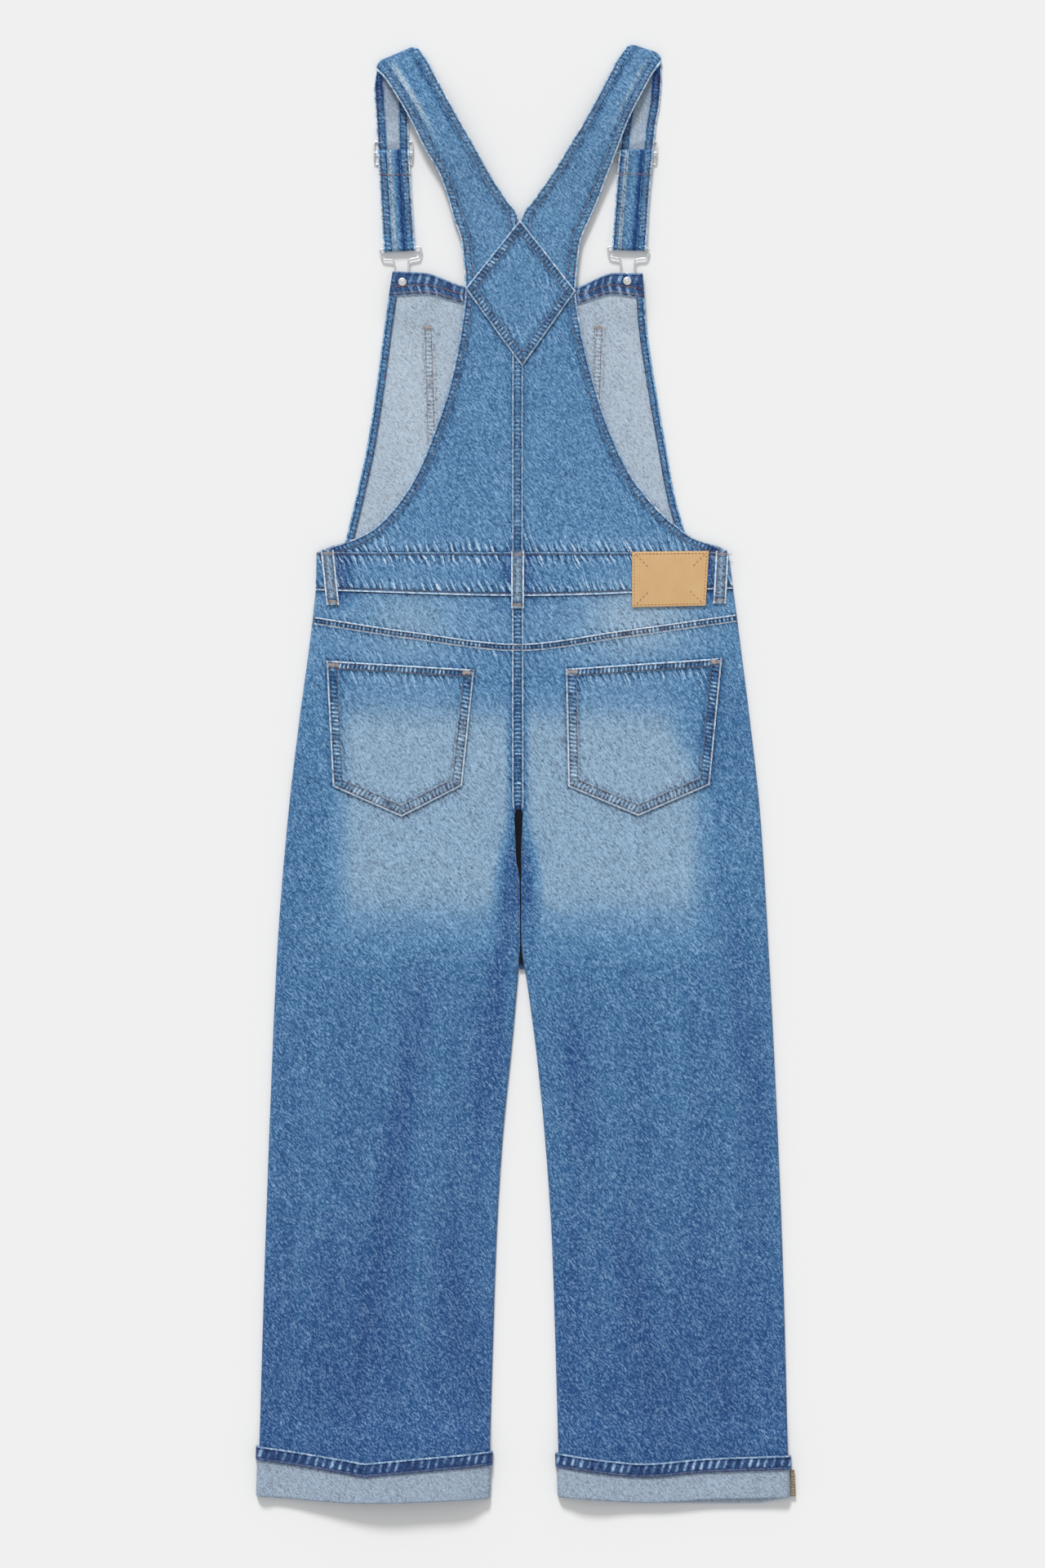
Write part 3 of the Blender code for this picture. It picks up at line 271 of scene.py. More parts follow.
def evenly(count, start=0.0, end=1.0):
    return np.linspace(start, end, count + 1)


print("stage: mesh tools")


def intoScene(name, data):
    made = bpy.data.objects.new(name, data)
    bpy.context.scene.collection.objects.link(made)
    return made


def addFloat(mesh, name, values):
    attribute = mesh.attributes.new(name, "FLOAT", "POINT")
    attribute.data.foreach_set("value", np.asarray(values, np.float32).ravel())


def closedWall(name, outer, inner, facts=None):
    # outer and inner are grids of points in mm; facts are grids of one number for each point of outer
    rows, columns = outer.shape[:2]
    points = np.concatenate([outer.reshape(-1, 3), inner.reshape(-1, 3)]) * mm
    number = np.arange(rows * columns).reshape(rows, columns)
    a, b = number[:-1, :-1].ravel(), number[:-1, 1:].ravel()
    c, d = number[1:, 1:].ravel(), number[1:, :-1].ravel()
    shift = rows * columns
    faces = [np.stack([a, b, c, d], 1), np.stack([d, c, b, a], 1) + shift]
    for line, turn in ((number[0], 1), (number[-1], -1), (number[:, 0], -1), (number[:, -1], 1)):
        start, end = line[:-1], line[1:]
        strip = np.stack([start, start + shift, end + shift, end], 1)
        faces.append(strip[:, ::turn])
    quads = np.concatenate(faces)
    middle = points[quads].mean(axis=1)
    p = points[quads]
    normal = np.cross(p[:, 2] - p[:, 0], p[:, 3] - p[:, 1])
    if np.einsum("ij,ij->", middle - points.mean(axis=0), normal) < 0:
        quads = quads[:, ::-1]
    mesh = bpy.data.meshes.new(name)
    mesh.from_pydata(points.tolist(), [], quads.tolist())
    mesh.shade_smooth()
    mesh.set_sharp_from_angle(angle=radians(50.0))
    facts = dict(facts or {})
    inside = facts.pop("reverseInside", np.ones(shift))
    addFloat(mesh, "reverseSide", np.concatenate([np.zeros(shift), inside.ravel()]))
    for fact, grid in facts.items():
        addFloat(mesh, fact, np.concatenate([grid.ravel(), grid.ravel()]))
    return intoScene(name, mesh)


def fieldGrid(left, right, low, high, rowShares, columnShares):
    # x and y grids between side lines given by y and end lines given by x
    v, u = np.meshgrid(rowShares, columnShares, indexing="ij")
    y = mix(low(np.zeros_like(v)), high(np.zeros_like(v)), v)
    for _ in range(4):
        x = mix(left(y), right(y), u)
        y = mix(low(x), high(x), v)
    return x, y


def cornerGrid(corners, rowShares, columnShares):
    # x, y and the shares up and across between four corners, from the lowest or low left one round
    (x0, y0), (x1, y1), (x2, y2), (x3, y3) = corners
    v, u = np.meshgrid(rowShares, columnShares, indexing="ij")
    return mix(mix(x0, x1, u), mix(x3, x2, u), v), mix(mix(y0, y1, u), mix(y3, y2, u), v), v, u


sideAngles = np.radians([0.0, 14.0, 28.0, 42.0, 56.0, 72.0])


def archSection(startX, endX, base, y, column, middle, above, depth, rounds, sideRound):
    # x and z across a panel whose sides turn down, for a column numbered from the left
    k = len(sideAngles)
    count = 2 * k + middle + 1
    onLeft, onRight = column < k, column >= count - k
    table = np.zeros(count)
    table[:k] = sideAngles
    table[-k:] = sideAngles[::-1]
    angle = table[column]
    flat = sideRound * (1 - np.cos(angle))
    deep = depth + (sideRound - depth) * (1 - np.cos(angle))
    xLeft = startX + mix(flat, deep, rounds[0])
    xRight = endX - mix(flat, deep, rounds[1])
    t = np.clip((column - k) / middle, 0.0, 1.0)
    x = np.where(onLeft, xLeft, np.where(onRight, xRight, mix(startX + sideRound, endX - sideRound, t)))
    flatZ = crown(x, y) + above - depth
    topLeft = crown(startX + sideRound, y) + above - depth
    topRight = crown(endX - sideRound, y) + above - depth
    z = np.where(onLeft, mix(flatZ, base + (topLeft - base) * np.sin(angle), rounds[0]), flatZ)
    z = np.where(onRight, mix(flatZ, base + (topRight - base) * np.sin(angle), rounds[1]), z)
    return x, z


def archGrid(left, right, low, high, rowShares, middle, rounds, above, thick):
    # the outer and inner grids of a back panel
    count = 2 * len(sideAngles) + middle + 1
    v, column = np.meshgrid(rowShares, np.arange(count), indexing="ij")
    grids = []
    for depth in (0.0, thick):
        y = mix(low(np.zeros_like(v)), high(np.zeros_like(v)), v)
        x = mix(left(y), right(y), column / (count - 1))
        for _ in range(4):
            y = mix(low(x), high(x), v)
            x, z = archSection(
                left(y), right(y), backLow(y), y, column, middle, above, depth, rounds(y),
                cloth["sideRound"],
            )
        grids.append(np.stack([x, y, z], axis=-1))
    return grids


def layerGrid(x, y, z, lowBy, highBy):
    return np.stack([x, y, z + highBy], axis=-1), np.stack([x, y, z + lowBy], axis=-1)


print("stage: fades and seam lines")
# tones of the cloth: worn fades, with painted shade in the leg folds and beside the crotch slit
toneAndShade = {
    # tone by height up the garment: 0 is dark blue, 0.5 mid blue and 1 near white
    "byHeight": [
        (720.0, 0.5), (470.0, 0.48), (214.0, 0.48), (178.0, 0.48), (120.0, 0.47), (84.0, 0.4),
        (40.0, 0.34), (-120.0, 0.33), (-200.0, 0.31), (-265.0, 0.28), (-400.0, 0.25), (-560.0, 0.18),
        (-720.0, 0.14),
    ],
    "seat": 0.5,
    # x, y, half width across, half width along, change
    "patches": [
        (-112.0, 146.0, 58.0, 44.0, 0.24), (110.0, 148.0, 62.0, 44.0, 0.38), (-118.0, 96.0, 60.0, 24.0, 0.1),
        (70.0, 100.0, 40.0, 24.0, 0.1), (-10.0, 292.0, 14.0, 40.0, 0.07), (-74.0, 330.0, 14.0, 70.0, -0.06),
        (-100.0, 196.0, 50.0, 12.0, 0.04), (-200.0, 60.0, 22.0, 60.0, 0.08),
        # the next two darken the cloth beside the crotch slit: painted shade
        (-14.0, -96.0, 12.0, 46.0, -0.14), (4.0, -104.0, 10.0, 44.0, -0.14),
        (214.0, -82.0, 16.0, 60.0, 0.1), (-186.0, 92.0, 12.0, 14.0, -0.16), (-60.0, 88.0, 12.0, 14.0, -0.12),
        (48.0, 90.0, 12.0, 14.0, -0.12), (180.0, 96.0, 12.0, 16.0, -0.16),
    ],
    # painted shade in soft vertical leg folds: half width, then rows of y, x, change
    "troughs": [
        (15.0, [(-140.0, -95.0, 0.0), (-202.0, -98.0, -0.08), (-329.0, -120.5, -0.1), (-456.0, -141.0, -0.15),
                (-583.0, -159.0, -0.14), (-650.0, -166.0, -0.06)]),
        (13.0, [(-400.0, -82.0, 0.0), (-456.0, -76.0, -0.06), (-519.0, -66.0, -0.09), (-583.0, -58.0, -0.1),
                (-640.0, -54.0, -0.04)]),
        (14.0, [(-96.0, -18.0, 0.0), (-138.0, -24.0, -0.12), (-202.0, -29.0, -0.17), (-265.0, -34.0, -0.15),
                (-329.0, -37.0, -0.09), (-392.0, -40.0, 0.0)]),
        (15.0, [(-420.0, 80.0, 0.0), (-456.0, 93.0, -0.06), (-519.0, 108.0, -0.1), (-583.0, 121.0, -0.13),
                (-650.0, 130.0, -0.06)]),
        (17.0, [(-480.0, 184.0, 0.0), (-583.0, 188.0, -0.08), (-640.0, 190.0, -0.04)]),
        (12.0, [(-200.0, 28.0, 0.0), (-265.0, 44.0, -0.07), (-329.0, 48.0, -0.04), (-380.0, 52.0, 0.0)]),
        (20.0, [(-420.0, -186.0, 0.0), (-500.0, -192.0, -0.05), (-583.0, -196.0, -0.06),
                (-650.0, -200.0, 0.0)]),
        (14.0, [(-100.0, 208.0, -0.02), (-202.0, 206.0, -0.11), (-329.0, 222.0, -0.06),
                (-420.0, 230.0, 0.0)]),
    ],
    # a darker strip beside each belt loop: x, half width, change
    "loops": [(-182.0, 13.0, -0.4), (-7.7, 17.0, -0.32), (181.0, 10.0, -0.42)],
}
toneByHeight = curveOf(toneAndShade["byHeight"])


def seatFade(x, y):
    # worn pale over the seat and the backs of the thighs, with a firm edge at the sides
    lower = ease(-40.0, -110.0, y)
    inner = np.where(x < -7.0, -8.0 - x, x + 7.0)
    fromInner = ease(0.0, 1.0, (inner - mix(1.0, 10.0, lower)) / mix(13.0, 18.0, lower))
    upper = ease(-10.0, 50.0, y)
    fromRight = ease(0.0, 1.0, (mix(198.0, 178.0, upper) - x) / mix(48.0, 54.0, upper))
    fromSide = np.where(x < 0, ease(-206.0, -160.0, x), fromRight)
    return ease(100.0, 34.0, y) * ease(-206.0, -100.0, y) * fromInner * fromSide


def toneAt(x, y):
    tone = toneByHeight(y) + toneAndShade["seat"] * seatFade(x, y)
    for atX, atY, across, along, change in toneAndShade["patches"]:
        away = ((x - atX) / across) ** 2 + ((y - atY) / along) ** 2
        tone = tone + change * np.exp(-away)
    for half, rows in toneAndShade["troughs"]:
        middle, change = bothCurves(rows)
        tone = tone + change(y) * np.exp(-(((x - middle(y)) / half) ** 2))
    band = np.sin(x * 0.11 + 1.3 * np.sin(y * 0.006)) * 0.02 + np.sin(x * 0.27 + y * 0.004) * 0.012
    tone = tone + band * ease(-120.0, -220.0, y)
    nearWaist = ease(150.0, 172.0, y) * ease(232.0, 214.0, y)
    for atX, half, change in toneAndShade["loops"]:
        tone = tone + change * nearWaist * np.exp(-(((x - atX) / half) ** 2))
    # crease ridges are painted lighter and their troughs darker: painted light and shade
    return np.clip(tone + ridges(creases, x, y, 1.0) * 0.05, 0.0, 1.0)


def runAlong(x, y):
    return np.concatenate([[0.0], np.cumsum(np.hypot(np.diff(x), np.diff(y)))])


def lineOf(edge, rows):
    return [(float(edge(y)), float(y)) for y in rows]


# each seam: points, width in mm, felled or an edge turned in, then how much it creases, puckers, is worn
# pale and how strong a painted shadow line lies beside it
seams = {
    "bibSeam": (
        [(-6.6, 536.0), (-6.8, 470.0), (-7.7, 394.0), (-7.9, 214.0)], 10.4, "felled", 0.1, 0.35, 0.6, 0.2,
    ),
    "seatSeam": ([(-7.7, 180.0), (-7.6, 60.0), (-7.4, -34.0)], 11.0, "felled", 0.16, 0.55, 0.8, 0.3),
    "yokeSeam": (
        [(x, float(yokeLine(x))) for x in np.linspace(-205, 204.4, 25)], 7.4, "felled", 0.34, 0.75, 0.9, 0.3,
    ),
    "waistTop": ([(-214.0, 214.2), (0.0, 214.2), (210.0, 214.2)], 3.0, "edge", 0.8, 0.0, 0.4, 0.35),
    "waistLow": (
        [(x, float(waistLine(x))) for x in np.linspace(-214, 214, 13)], 3.4, "edge", 0.75, 0.0, 0.9, 1.0,
    ),
    "diamond": (diamond + diamond[:1], 9.4, "edge", 0.3, 0.6, 0.7, 0.4),
}
for side, arm, topX, lowX in (("left", armLeft, -95.0, -90.0), ("right", armRight, 72.0, 67.0)):
    corners, word = backPockets[side], side.title()
    seams["arm" + word] = (lineOf(arm, np.linspace(470, 214.5, 40)), 8.2, "edge", 0.15, 0.35, 0.55, 0.3)
    seams["pocket" + word] = (corners[1:] + corners[:1], 11.0, "edge", 0.2, 0.6, 0.9, 0.5)
    seams["pocketTop" + word] = (corners[:2], 8.2, "edge", 0.6, 0.8, 0.9, 0.6)
    seams["bibPocket" + word] = ([(topX, 432.0), (lowX, 320.0)], 8.6, "felled", 0.1, 0.6, 0.7, 0.3)
# creases a seam throws onto the cloth under its edge
underCreases = {"waistLow": 0.08, "waistTop": 1.0}


def alongLine(points, x, y):
    best = np.full(x.shape, 1e9)
    run = np.zeros(x.shape)
    total = 0.0
    for (x0, y0), (x1, y1) in zip(points[:-1], points[1:]):
        stepX, stepY = x1 - x0, y1 - y0
        length = hypot(stepX, stepY)
        share = np.clip(((x - x0) * stepX + (y - y0) * stepY) / length**2, 0.0, 1.0)
        away = np.hypot(x - x0 - share * stepX, y - y0 - share * stepY)
        closer = away < best
        best = np.where(closer, away, best)
        run = np.where(closer, total + share * length, run)
        total += length
    return best, run


def bandFacts(away, along, width, pucker, worn=1.0, deep=0.3, hairs=0.0):
    table = {
        "seamAway": away, "seamAlong": along, "seamWidth": width, "seamPucker": pucker, "seamWorn": worn,
        "seamDeep": deep, "seamHairs": hairs,
    }
    return {name: value + 0.0 * away for name, value in table.items()}


def seamFacts(x, y, names, under=()):
    # the distance from the nearest seam's raised edge, the run along it, its width, its wear and the painted
    # shadow beside it; the seams in under lie on top of this piece
    away, along = np.full(x.shape, 90.0), np.zeros(x.shape)
    width, hairs = np.full(x.shape, 8.0), np.zeros(x.shape)
    pucker, worn, deep = np.zeros(x.shape), np.zeros(x.shape), np.zeros(x.shape)
    for i, name in enumerate(list(names) + list(under)):
        points, seamWidth, kind, creasing, drawn, pale, dark = seams[name]
        distance, run = alongLine(points, x, y)
        if i >= len(names):
            distance = distance + seamWidth
            creasing = creasing * underCreases.get(name, 0.35)
        elif kind == "felled":
            distance = distance + seamWidth / 2
        closer = distance - seamWidth < away - width
        hairs = np.maximum(hairs, creasing * np.exp(-np.maximum(distance - seamWidth, 0.0) / 24.0))
        away = np.where(closer, distance, away)
        along = np.where(closer, run + 700.0 * (i + 1), along)
        width = np.where(closer, seamWidth, width)
        pucker, worn = np.where(closer, drawn, pucker), np.where(closer, pale, worn)
        # seams lying on top and the pocket tops give their own strength of painted shadow, the rest a weak
        # one
        deep = np.where(closer, dark if i >= len(names) or name.startswith("pocketTop") else 0.3, deep)
    return bandFacts(away, along, width, pucker, worn, deep, hairs)


def clothFacts(x, y, names, shift=0.0, under=()):
    facts = seamFacts(x, y, names, under)
    facts["tone"] = np.clip(toneAt(x, y) + shift, 0.0, 1.0)
    return facts


def raised(distance, width, rise):
    # a turned edge stands a little higher and drops by the stitch line inside it
    return rise * ease(0.0, 1.0, distance) * (1 - ease(width - 1.2, width + 0.4, distance))


def columnsWith(width, step):
    # shares across a panel: fine near both edges, even between
    near = np.array([0.0, 0.5, 1.0, 2.0, 3.4, 5.0, 6.4, 7.4, 8.2, 9.0, 10.4, 12.4])
    count = max(int((width - 2 * near[-1]) / step), 2)
    middle = np.linspace(near[-1], width - near[-1], count + 1)[1:-1]
    return np.concatenate([near, middle, (width - near)[::-1]]) / width


pieces, madeSheets = {}, []


def keep(piece, replaced, flat=None, area=None, restsOn=(), withPieces=()):
    # the flat size in metres and the area in square metres are given for cloth alone
    pieces[piece.name] = piece
    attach(piece, "root")
    if replaced:
        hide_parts(*replaced)
    if flat:
        madeSheets.append((piece, flat, area, restsOn, withPieces))


print("stage: back panels")
backPanels = {
    "legRows": 276, "legColumns": 72, "yokeRows": 18, "yokeColumns": 70,
    "bandRows": 22, "bandColumns": 190, "bandRidges": 0.14, "bandGroove": 0.3,
    "bibRise": 0.55, "diamondRise": 0.7, "pocketRise": 0.5, "pocketTopRise": 0.8, "pocketSwell": 0.5,
}


def legSides(side):
    if side == "left":
        return backLeft, innerLeft
    return innerRight, backRight


def turnedSides(side, inner):
    # how far the left and the right side of a panel turn down: the outer side fully
    return (np.ones_like(inner), inner) if side == "left" else (inner, np.ones_like(inner))


def legEnd(side, x):
    fold = np.maximum(cuffLowLine[side](x), cuffFrontLine[side](x))
    return fold + foldRadius + cloth["cuffLip"] + cloth["legEndGap"]


def makeBackLeg(side):
    outer, inner = archGrid(
        *legSides(side), lambda x: legEnd(side, x), lambda x: yokeLine(x) - cloth["gap"],
        evenly(backPanels["legRows"]), backPanels["legColumns"],
        lambda y: turnedSides(side, ease(-28.0, -96.0, y)), 0.0, cloth["thick"],
    )
    over = ["pocket" + side.title(), "pocketTop" + side.title()]
    facts = clothFacts(outer[..., 0], outer[..., 1], ["seatSeam", "yokeSeam"], 0.0, over)
    piece = closedWall(side + "BackLeg", outer, inner, facts)
    keep(piece, [f"back_leg_{side}"], (0.27, 0.84), 0.19, ["front_leg_" + side])


def makeYoke(side):
    outer, inner = archGrid(
        *legSides(side), yokeLine, lambda x: waistLine(x) - cloth["gap"],
        evenly(backPanels["yokeRows"]), backPanels["yokeColumns"],
        lambda y: turnedSides(side, np.zeros_like(y)), 0.0, cloth["thick"],
    )
    facts = clothFacts(outer[..., 0], outer[..., 1], ["seatSeam", "yokeSeam"], 0.04, ["waistLow"])
    piece = closedWall(side + "Yoke", outer, inner, facts)
    keep(piece, [f"yoke_{side}"], (0.215, 0.06), 0.0082, ["front_leg_" + side])


def makeWaistband():
    # the band's edges roll over their stitch rows, and the cloth between them is drawn into short ridges
    outer, inner = archGrid(
        backLeft, backRight, waistLine, lambda x: cloth["waistTop"] - cloth["gap"] + 0.0 * x,
        evenly(backPanels["bandRows"]), backPanels["bandColumns"],
        lambda y: (np.ones_like(y), np.ones_like(y)), cloth["waistbandExtra"],
        cloth["thick"] + cloth["waistbandExtra"],
    )
    x, y = outer[..., 0], outer[..., 1]
    toEdge = np.minimum(y - waistLine(x), cloth["waistTop"] - y)
    drawn = np.sin(x * 0.62 + y * 0.16 + 1.4 * np.sin(x * 0.083)) * np.exp(-((toEdge - 7) / 6.0) ** 2)
    ridge = backPanels["bandRidges"] * drawn * (0.6 + 0.4 * np.sin(x * 0.047))
    outer[..., 2] += ridge - backPanels["bandGroove"] * np.exp(-((toEdge - 2.6) / 1.4) ** 2)
    piece = closedWall("backWaistband", outer, inner, clothFacts(x, y, ["waistTop", "waistLow"], -0.07))
    keep(piece, ["waistband_back"], (0.407, 0.043), 0.0161, ["waistband_front"])


def makeBackBib(side):
    left, right = (armLeft, bibInnerLeft) if side == "left" else (bibInnerRight, armRight)
    x, y = fieldGrid(
        left, right, lambda x: cloth["waistTop"] + 0.0 * x, lambda x: cloth["backBibTop"] + 0.0 * x,
        np.concatenate([evenly(24, 0.0, 0.13), evenly(76, 0.13, 1.0)[1:]]), columnsWith(110.0, 2.6),
    )
    arm = "arm" + side.title()
    facts = clothFacts(x, y, [arm, "bibSeam"], 0.0, ["waistTop", "diamond"])
    edgeAway, _ = alongLine(seams[arm][0], x, y)
    outer, inner = layerGrid(x, y, crown(x, y) + raised(edgeAway, 8.2, backPanels["bibRise"]), 0.0, 0.0)
    inner[..., 2] = crown(x, y) - cloth["thick"]
    piece = closedWall(side + "BackBib", outer, inner, facts)
    keep(piece, [f"back_bib_{side}"], (0.195, 0.258), 0.024, ["front_bib"])


def makeDiamond():
    low, right = diamond[:2]
    shares = columnsWith(hypot(right[0] - low[0], right[1] - low[1]), 2.4)
    x, y, _, _ = cornerGrid(diamond, shares, shares)
    edge, _ = alongLine(seams["diamond"][0], x, y)
    outer, inner = layerGrid(x, y, crown(x, y) + cloth["gap"], 0.0, cloth["thick"])
    outer[..., 2] += raised(edge, 9.0, backPanels["diamondRise"])
    piece = closedWall("diamondPatch", outer, inner, clothFacts(x, y, ["diamond"], 0.03))
    keep(piece, ["diamond_patch"], (0.09, 0.089), 0.0077, ["leftBackBib", "rightBackBib"])


def makePocket(side):
    topLeft, topRight, rightCorner, point, leftCorner = backPockets[side]

    def sideX(start, end):
        return lambda y: mix(start[0], end[0], (start[1] - y) / (start[1] - end[1]))

    baseX, baseY = zip(leftCorner, point, rightCorner)
    width = topRight[0] - topLeft[0]
    x, y = fieldGrid(
        sideX(topLeft, leftCorner), sideX(topRight, rightCorner),
        lambda x: np.interp(x, baseX, baseY),
        lambda x: mix(topLeft[1], topRight[1], (x - topLeft[0]) / width),
        columnsWith(135.0, 2.8), columnsWith(width * 0.92, 2.8),
    )
    names = ["pocket" + side.title(), "pocketTop" + side.title()]
    edge, topEdge = [alongLine(seams[name][0], x, y)[0] for name in names]
    swell = backPanels["pocketSwell"] * np.exp(-((x - point[0]) / 34.0) ** 2 - ((y - 40.0) / 44.0) ** 2)
    outer, inner = layerGrid(x, y, crown(x, y) + cloth["gap"], 0.0, cloth["thick"])
    turned = raised(edge, 10.6, backPanels["pocketRise"])
    outer[..., 2] += np.maximum(turned, raised(topEdge, 8.0, backPanels["pocketTopRise"])) + swell
    piece = closedWall(side + "BackPocket", outer, inner, clothFacts(x, y, names, 0.015))
    keep(piece, [f"back_pocket_{side}"], (0.153, 0.153), 0.018, [side + "BackLeg"])


for side in ("left", "right"):
    makeBackLeg(side)
    makeYoke(side)
    makeBackBib(side)
    makePocket(side)
makeWaistband()
makeDiamond()


print("stage: belt loops and leather")
beltLoops = {
    "left": (-192.7, -187.2, 216.0, 162.8),
    "centre": (-7.7, -7.7, 215.2, 159.6),
    "right": (191.0, 188.4, 215.2, 164.4),
}
loopShape = {
    "width": 12.4, "shares": [0.0, 0.14, 0.3, 0.6, 1.0], "rises": [0.35, 1.2, 1.6, 2.2, 1.3],
    "ridge": 0.35, "valley": 0.15, "tackDip": 0.5, "tone": 0.84,
}
leatherPatch = {
    "corners": [(103.4, 160.4), (174.9, 162.0), (178.1, 215.2), (103.4, 214.4)],
    "middle": (139.0, 188.0), "size": (73.0, 53.5), "curl": 0.35, "edgeDrop": 0.55, "stitchDip": 0.22,
}


def sideHeight(x, y):
    away = np.minimum(x - backLeft(y), backRight(y) - x)
    near = 1.0 - np.minimum(np.maximum(away, 2.0), cloth["sideRound"]) / cloth["sideRound"]
    return restHeight + (crown(x, y) - restHeight) * np.sqrt(1.0 - near**2)


def loopBase(x, y, share):
    # the underside of a loop, by its share from the low end to the top
    rise = np.interp(share, loopShape["shares"], loopShape["rises"])
    return sideHeight(x, np.minimum(y, cloth["waistTop"])) + rise


def makeLoop(name):
    topX, lowX, topY, lowY = beltLoops[name]
    v, u = np.meshgrid(evenly(40), evenly(12, -0.5, 0.5), indexing="ij")
    y = mix(lowY, topY, v)
    x = mix(lowX, topX, v) + loopShape["width"] * u
    outer, inner = layerGrid(x, y, loopBase(x, y, v), 0.0, cloth["loopThick"])
    # two stitched ridges with a shallow valley between, and ends pressed down by their bar tacks
    outer[..., 2] += loopShape["ridge"] * np.exp(-((np.abs(u) - 0.3) / 0.12) ** 2) - loopShape["valley"]
    for end in (0.06, 0.93):
        outer[..., 2] -= loopShape["tackDip"] * np.exp(-((v - end) / 0.03) ** 2)
    edge = (0.5 - np.abs(u)) * loopShape["width"]
    facts = bandFacts(edge, y * np.sign(u + 0.01) + 500.0, 3.4, 0.3, 1.1)
    tone = loopShape["tone"] + 0.06 * np.cos(u * 9.0) + 0.3 * ease(0.05, 0.02, v)
    for end, darker in ((0.1, 0.5), (0.9, 0.4)):
        tone = tone - darker * np.exp(-((v - end) / 0.02) ** 2)
    facts["tone"] = np.clip(tone, 0.0, 1.0)
    piece = closedWall(name + "BeltLoop", outer, inner, facts)
    keep(piece, [f"belt_loop_{name}"], (0.0125, 0.055), 0.00068, ["backWaistband"])


def makeLeather():
    x, y, v, u = cornerGrid(leatherPatch["corners"], evenly(36), evenly(46))
    z = crown(x, np.minimum(y, cloth["waistTop"])) + cloth["waistbandExtra"] + cloth["gap"]
    corner = np.abs(2 * u - 1) ** 6 * np.abs(2 * v - 1) ** 6
    wide, high = leatherPatch["size"]
    edge = np.minimum(np.minimum(u, 1 - u) * wide, np.minimum(v, 1 - v) * high)
    outer, inner = layerGrid(x, y, z, 0.0, cloth["leatherThick"])
    outer[..., 2] += corner * leatherPatch["curl"] - leatherPatch["edgeDrop"] * (1 - ease(0.0, 1.4, edge))
    outer[..., 2] -= leatherPatch["stitchDip"] * np.exp(-((edge - 2.8) / 0.8) ** 2)
    piece = closedWall("leatherPatch", outer, inner, {"edgeAway": edge})
    keep(piece, ["leather_patch"], (0.0747, 0.0548), 0.0039, ["backWaistband"])


for name in beltLoops:
    makeLoop(name)
makeLeather()


print("stage: cuffs")
cuff = {
    "spans": 8, "turns": 12, "middle": 78, "hemMiddle": 150, "area": {"left": 0.0107, "right": 0.0102},
    "tone": 0.45, "hemTone": 0.23, "hemRidges": 0.34, "hemLip": 0.25,
}
cuffRows = cuff["spans"] + cuff["turns"] + 2
evenRound = (1.0, 1.0)


def foldProfile(top, low, depth):
    # y and depth for each row of a cuff: down its wall, round the fold and up inside
    radius = foldRadius - depth
    turn = low + foldRadius
    rows = [(mix(top, turn, t), depth + 0.0 * turn) for t in evenly(cuff["spans"])]
    for angle in np.radians(evenly(cuff["turns"], 0.0, 180.0))[1:]:
        rows.append((turn - radius * np.sin(angle), foldRadius - radius * np.cos(angle) + 0.0 * turn))
    rows.append((turn + cloth["cuffLip"], 2 * foldRadius - depth + 0.0 * turn))
    return np.stack([row[0] for row in rows]), np.stack([row[1] for row in rows])


def makeBackCuff(side):
    left, right = legSides(side)
    out = cloth["cuffOut"]
    count = 2 * len(sideAngles) + cuff["middle"] + 1
    column = np.broadcast_to(np.arange(count), (cuffRows, count))
    grids = []
    for depth in (0.0, cloth["thick"]):
        x = mix(left(-690.0), right(-690.0), column / (count - 1))
        for _ in range(3):
            y, inside = np.zeros_like(x), np.zeros_like(x)
            for r in range(cuffRows):
                rowsY, rowsIn = foldProfile(cuffTopLine[side](x[r]), cuffLowLine[side](x[r]), depth)
                y[r], inside[r] = rowsY[r], rowsIn[r]
            atY = np.maximum(y, cuffLowLine[side](x) + foldRadius)
            cuffX, cuffZ = archSection(
                left(atY) - out, right(atY) + out, restHeight, atY, column, cuff["middle"], cuffRaise,
                0.0, evenRound, cloth["sideRound"] + out,
            )
            legX, legZ = archSection(
                left(atY), right(atY), backLow(atY), atY, column, cuff["middle"], 0.0, cloth["thick"],
                evenRound, cloth["sideRound"],
            )
            share = inside / (2 * foldRadius)
            x = mix(cuffX, legX, share)
        grids.append(np.stack([x, y, mix(cuffZ, legZ, share)], axis=-1))
    x, y = grids[0][..., 0], grids[0][..., 1]
    fromHem = np.abs(cuffTopLine[side](x) - cloth["hemWidth"] - y)
    # the cuff is painted darker just under its hem band: painted shade
    facts = bandFacts(fromHem + 4.0, x + 900.0, 3.0, 0.0, 0.0, 0.4)
    facts["tone"] = np.full(x.shape, cuff["tone"])
    piece = closedWall(side + "BackCuff", *grids, facts)
    keep(
        piece, [f"cuff_back_{side}"], (0.232, 0.062), cuff["area"][side],
        [side + "BackLeg"],
    )


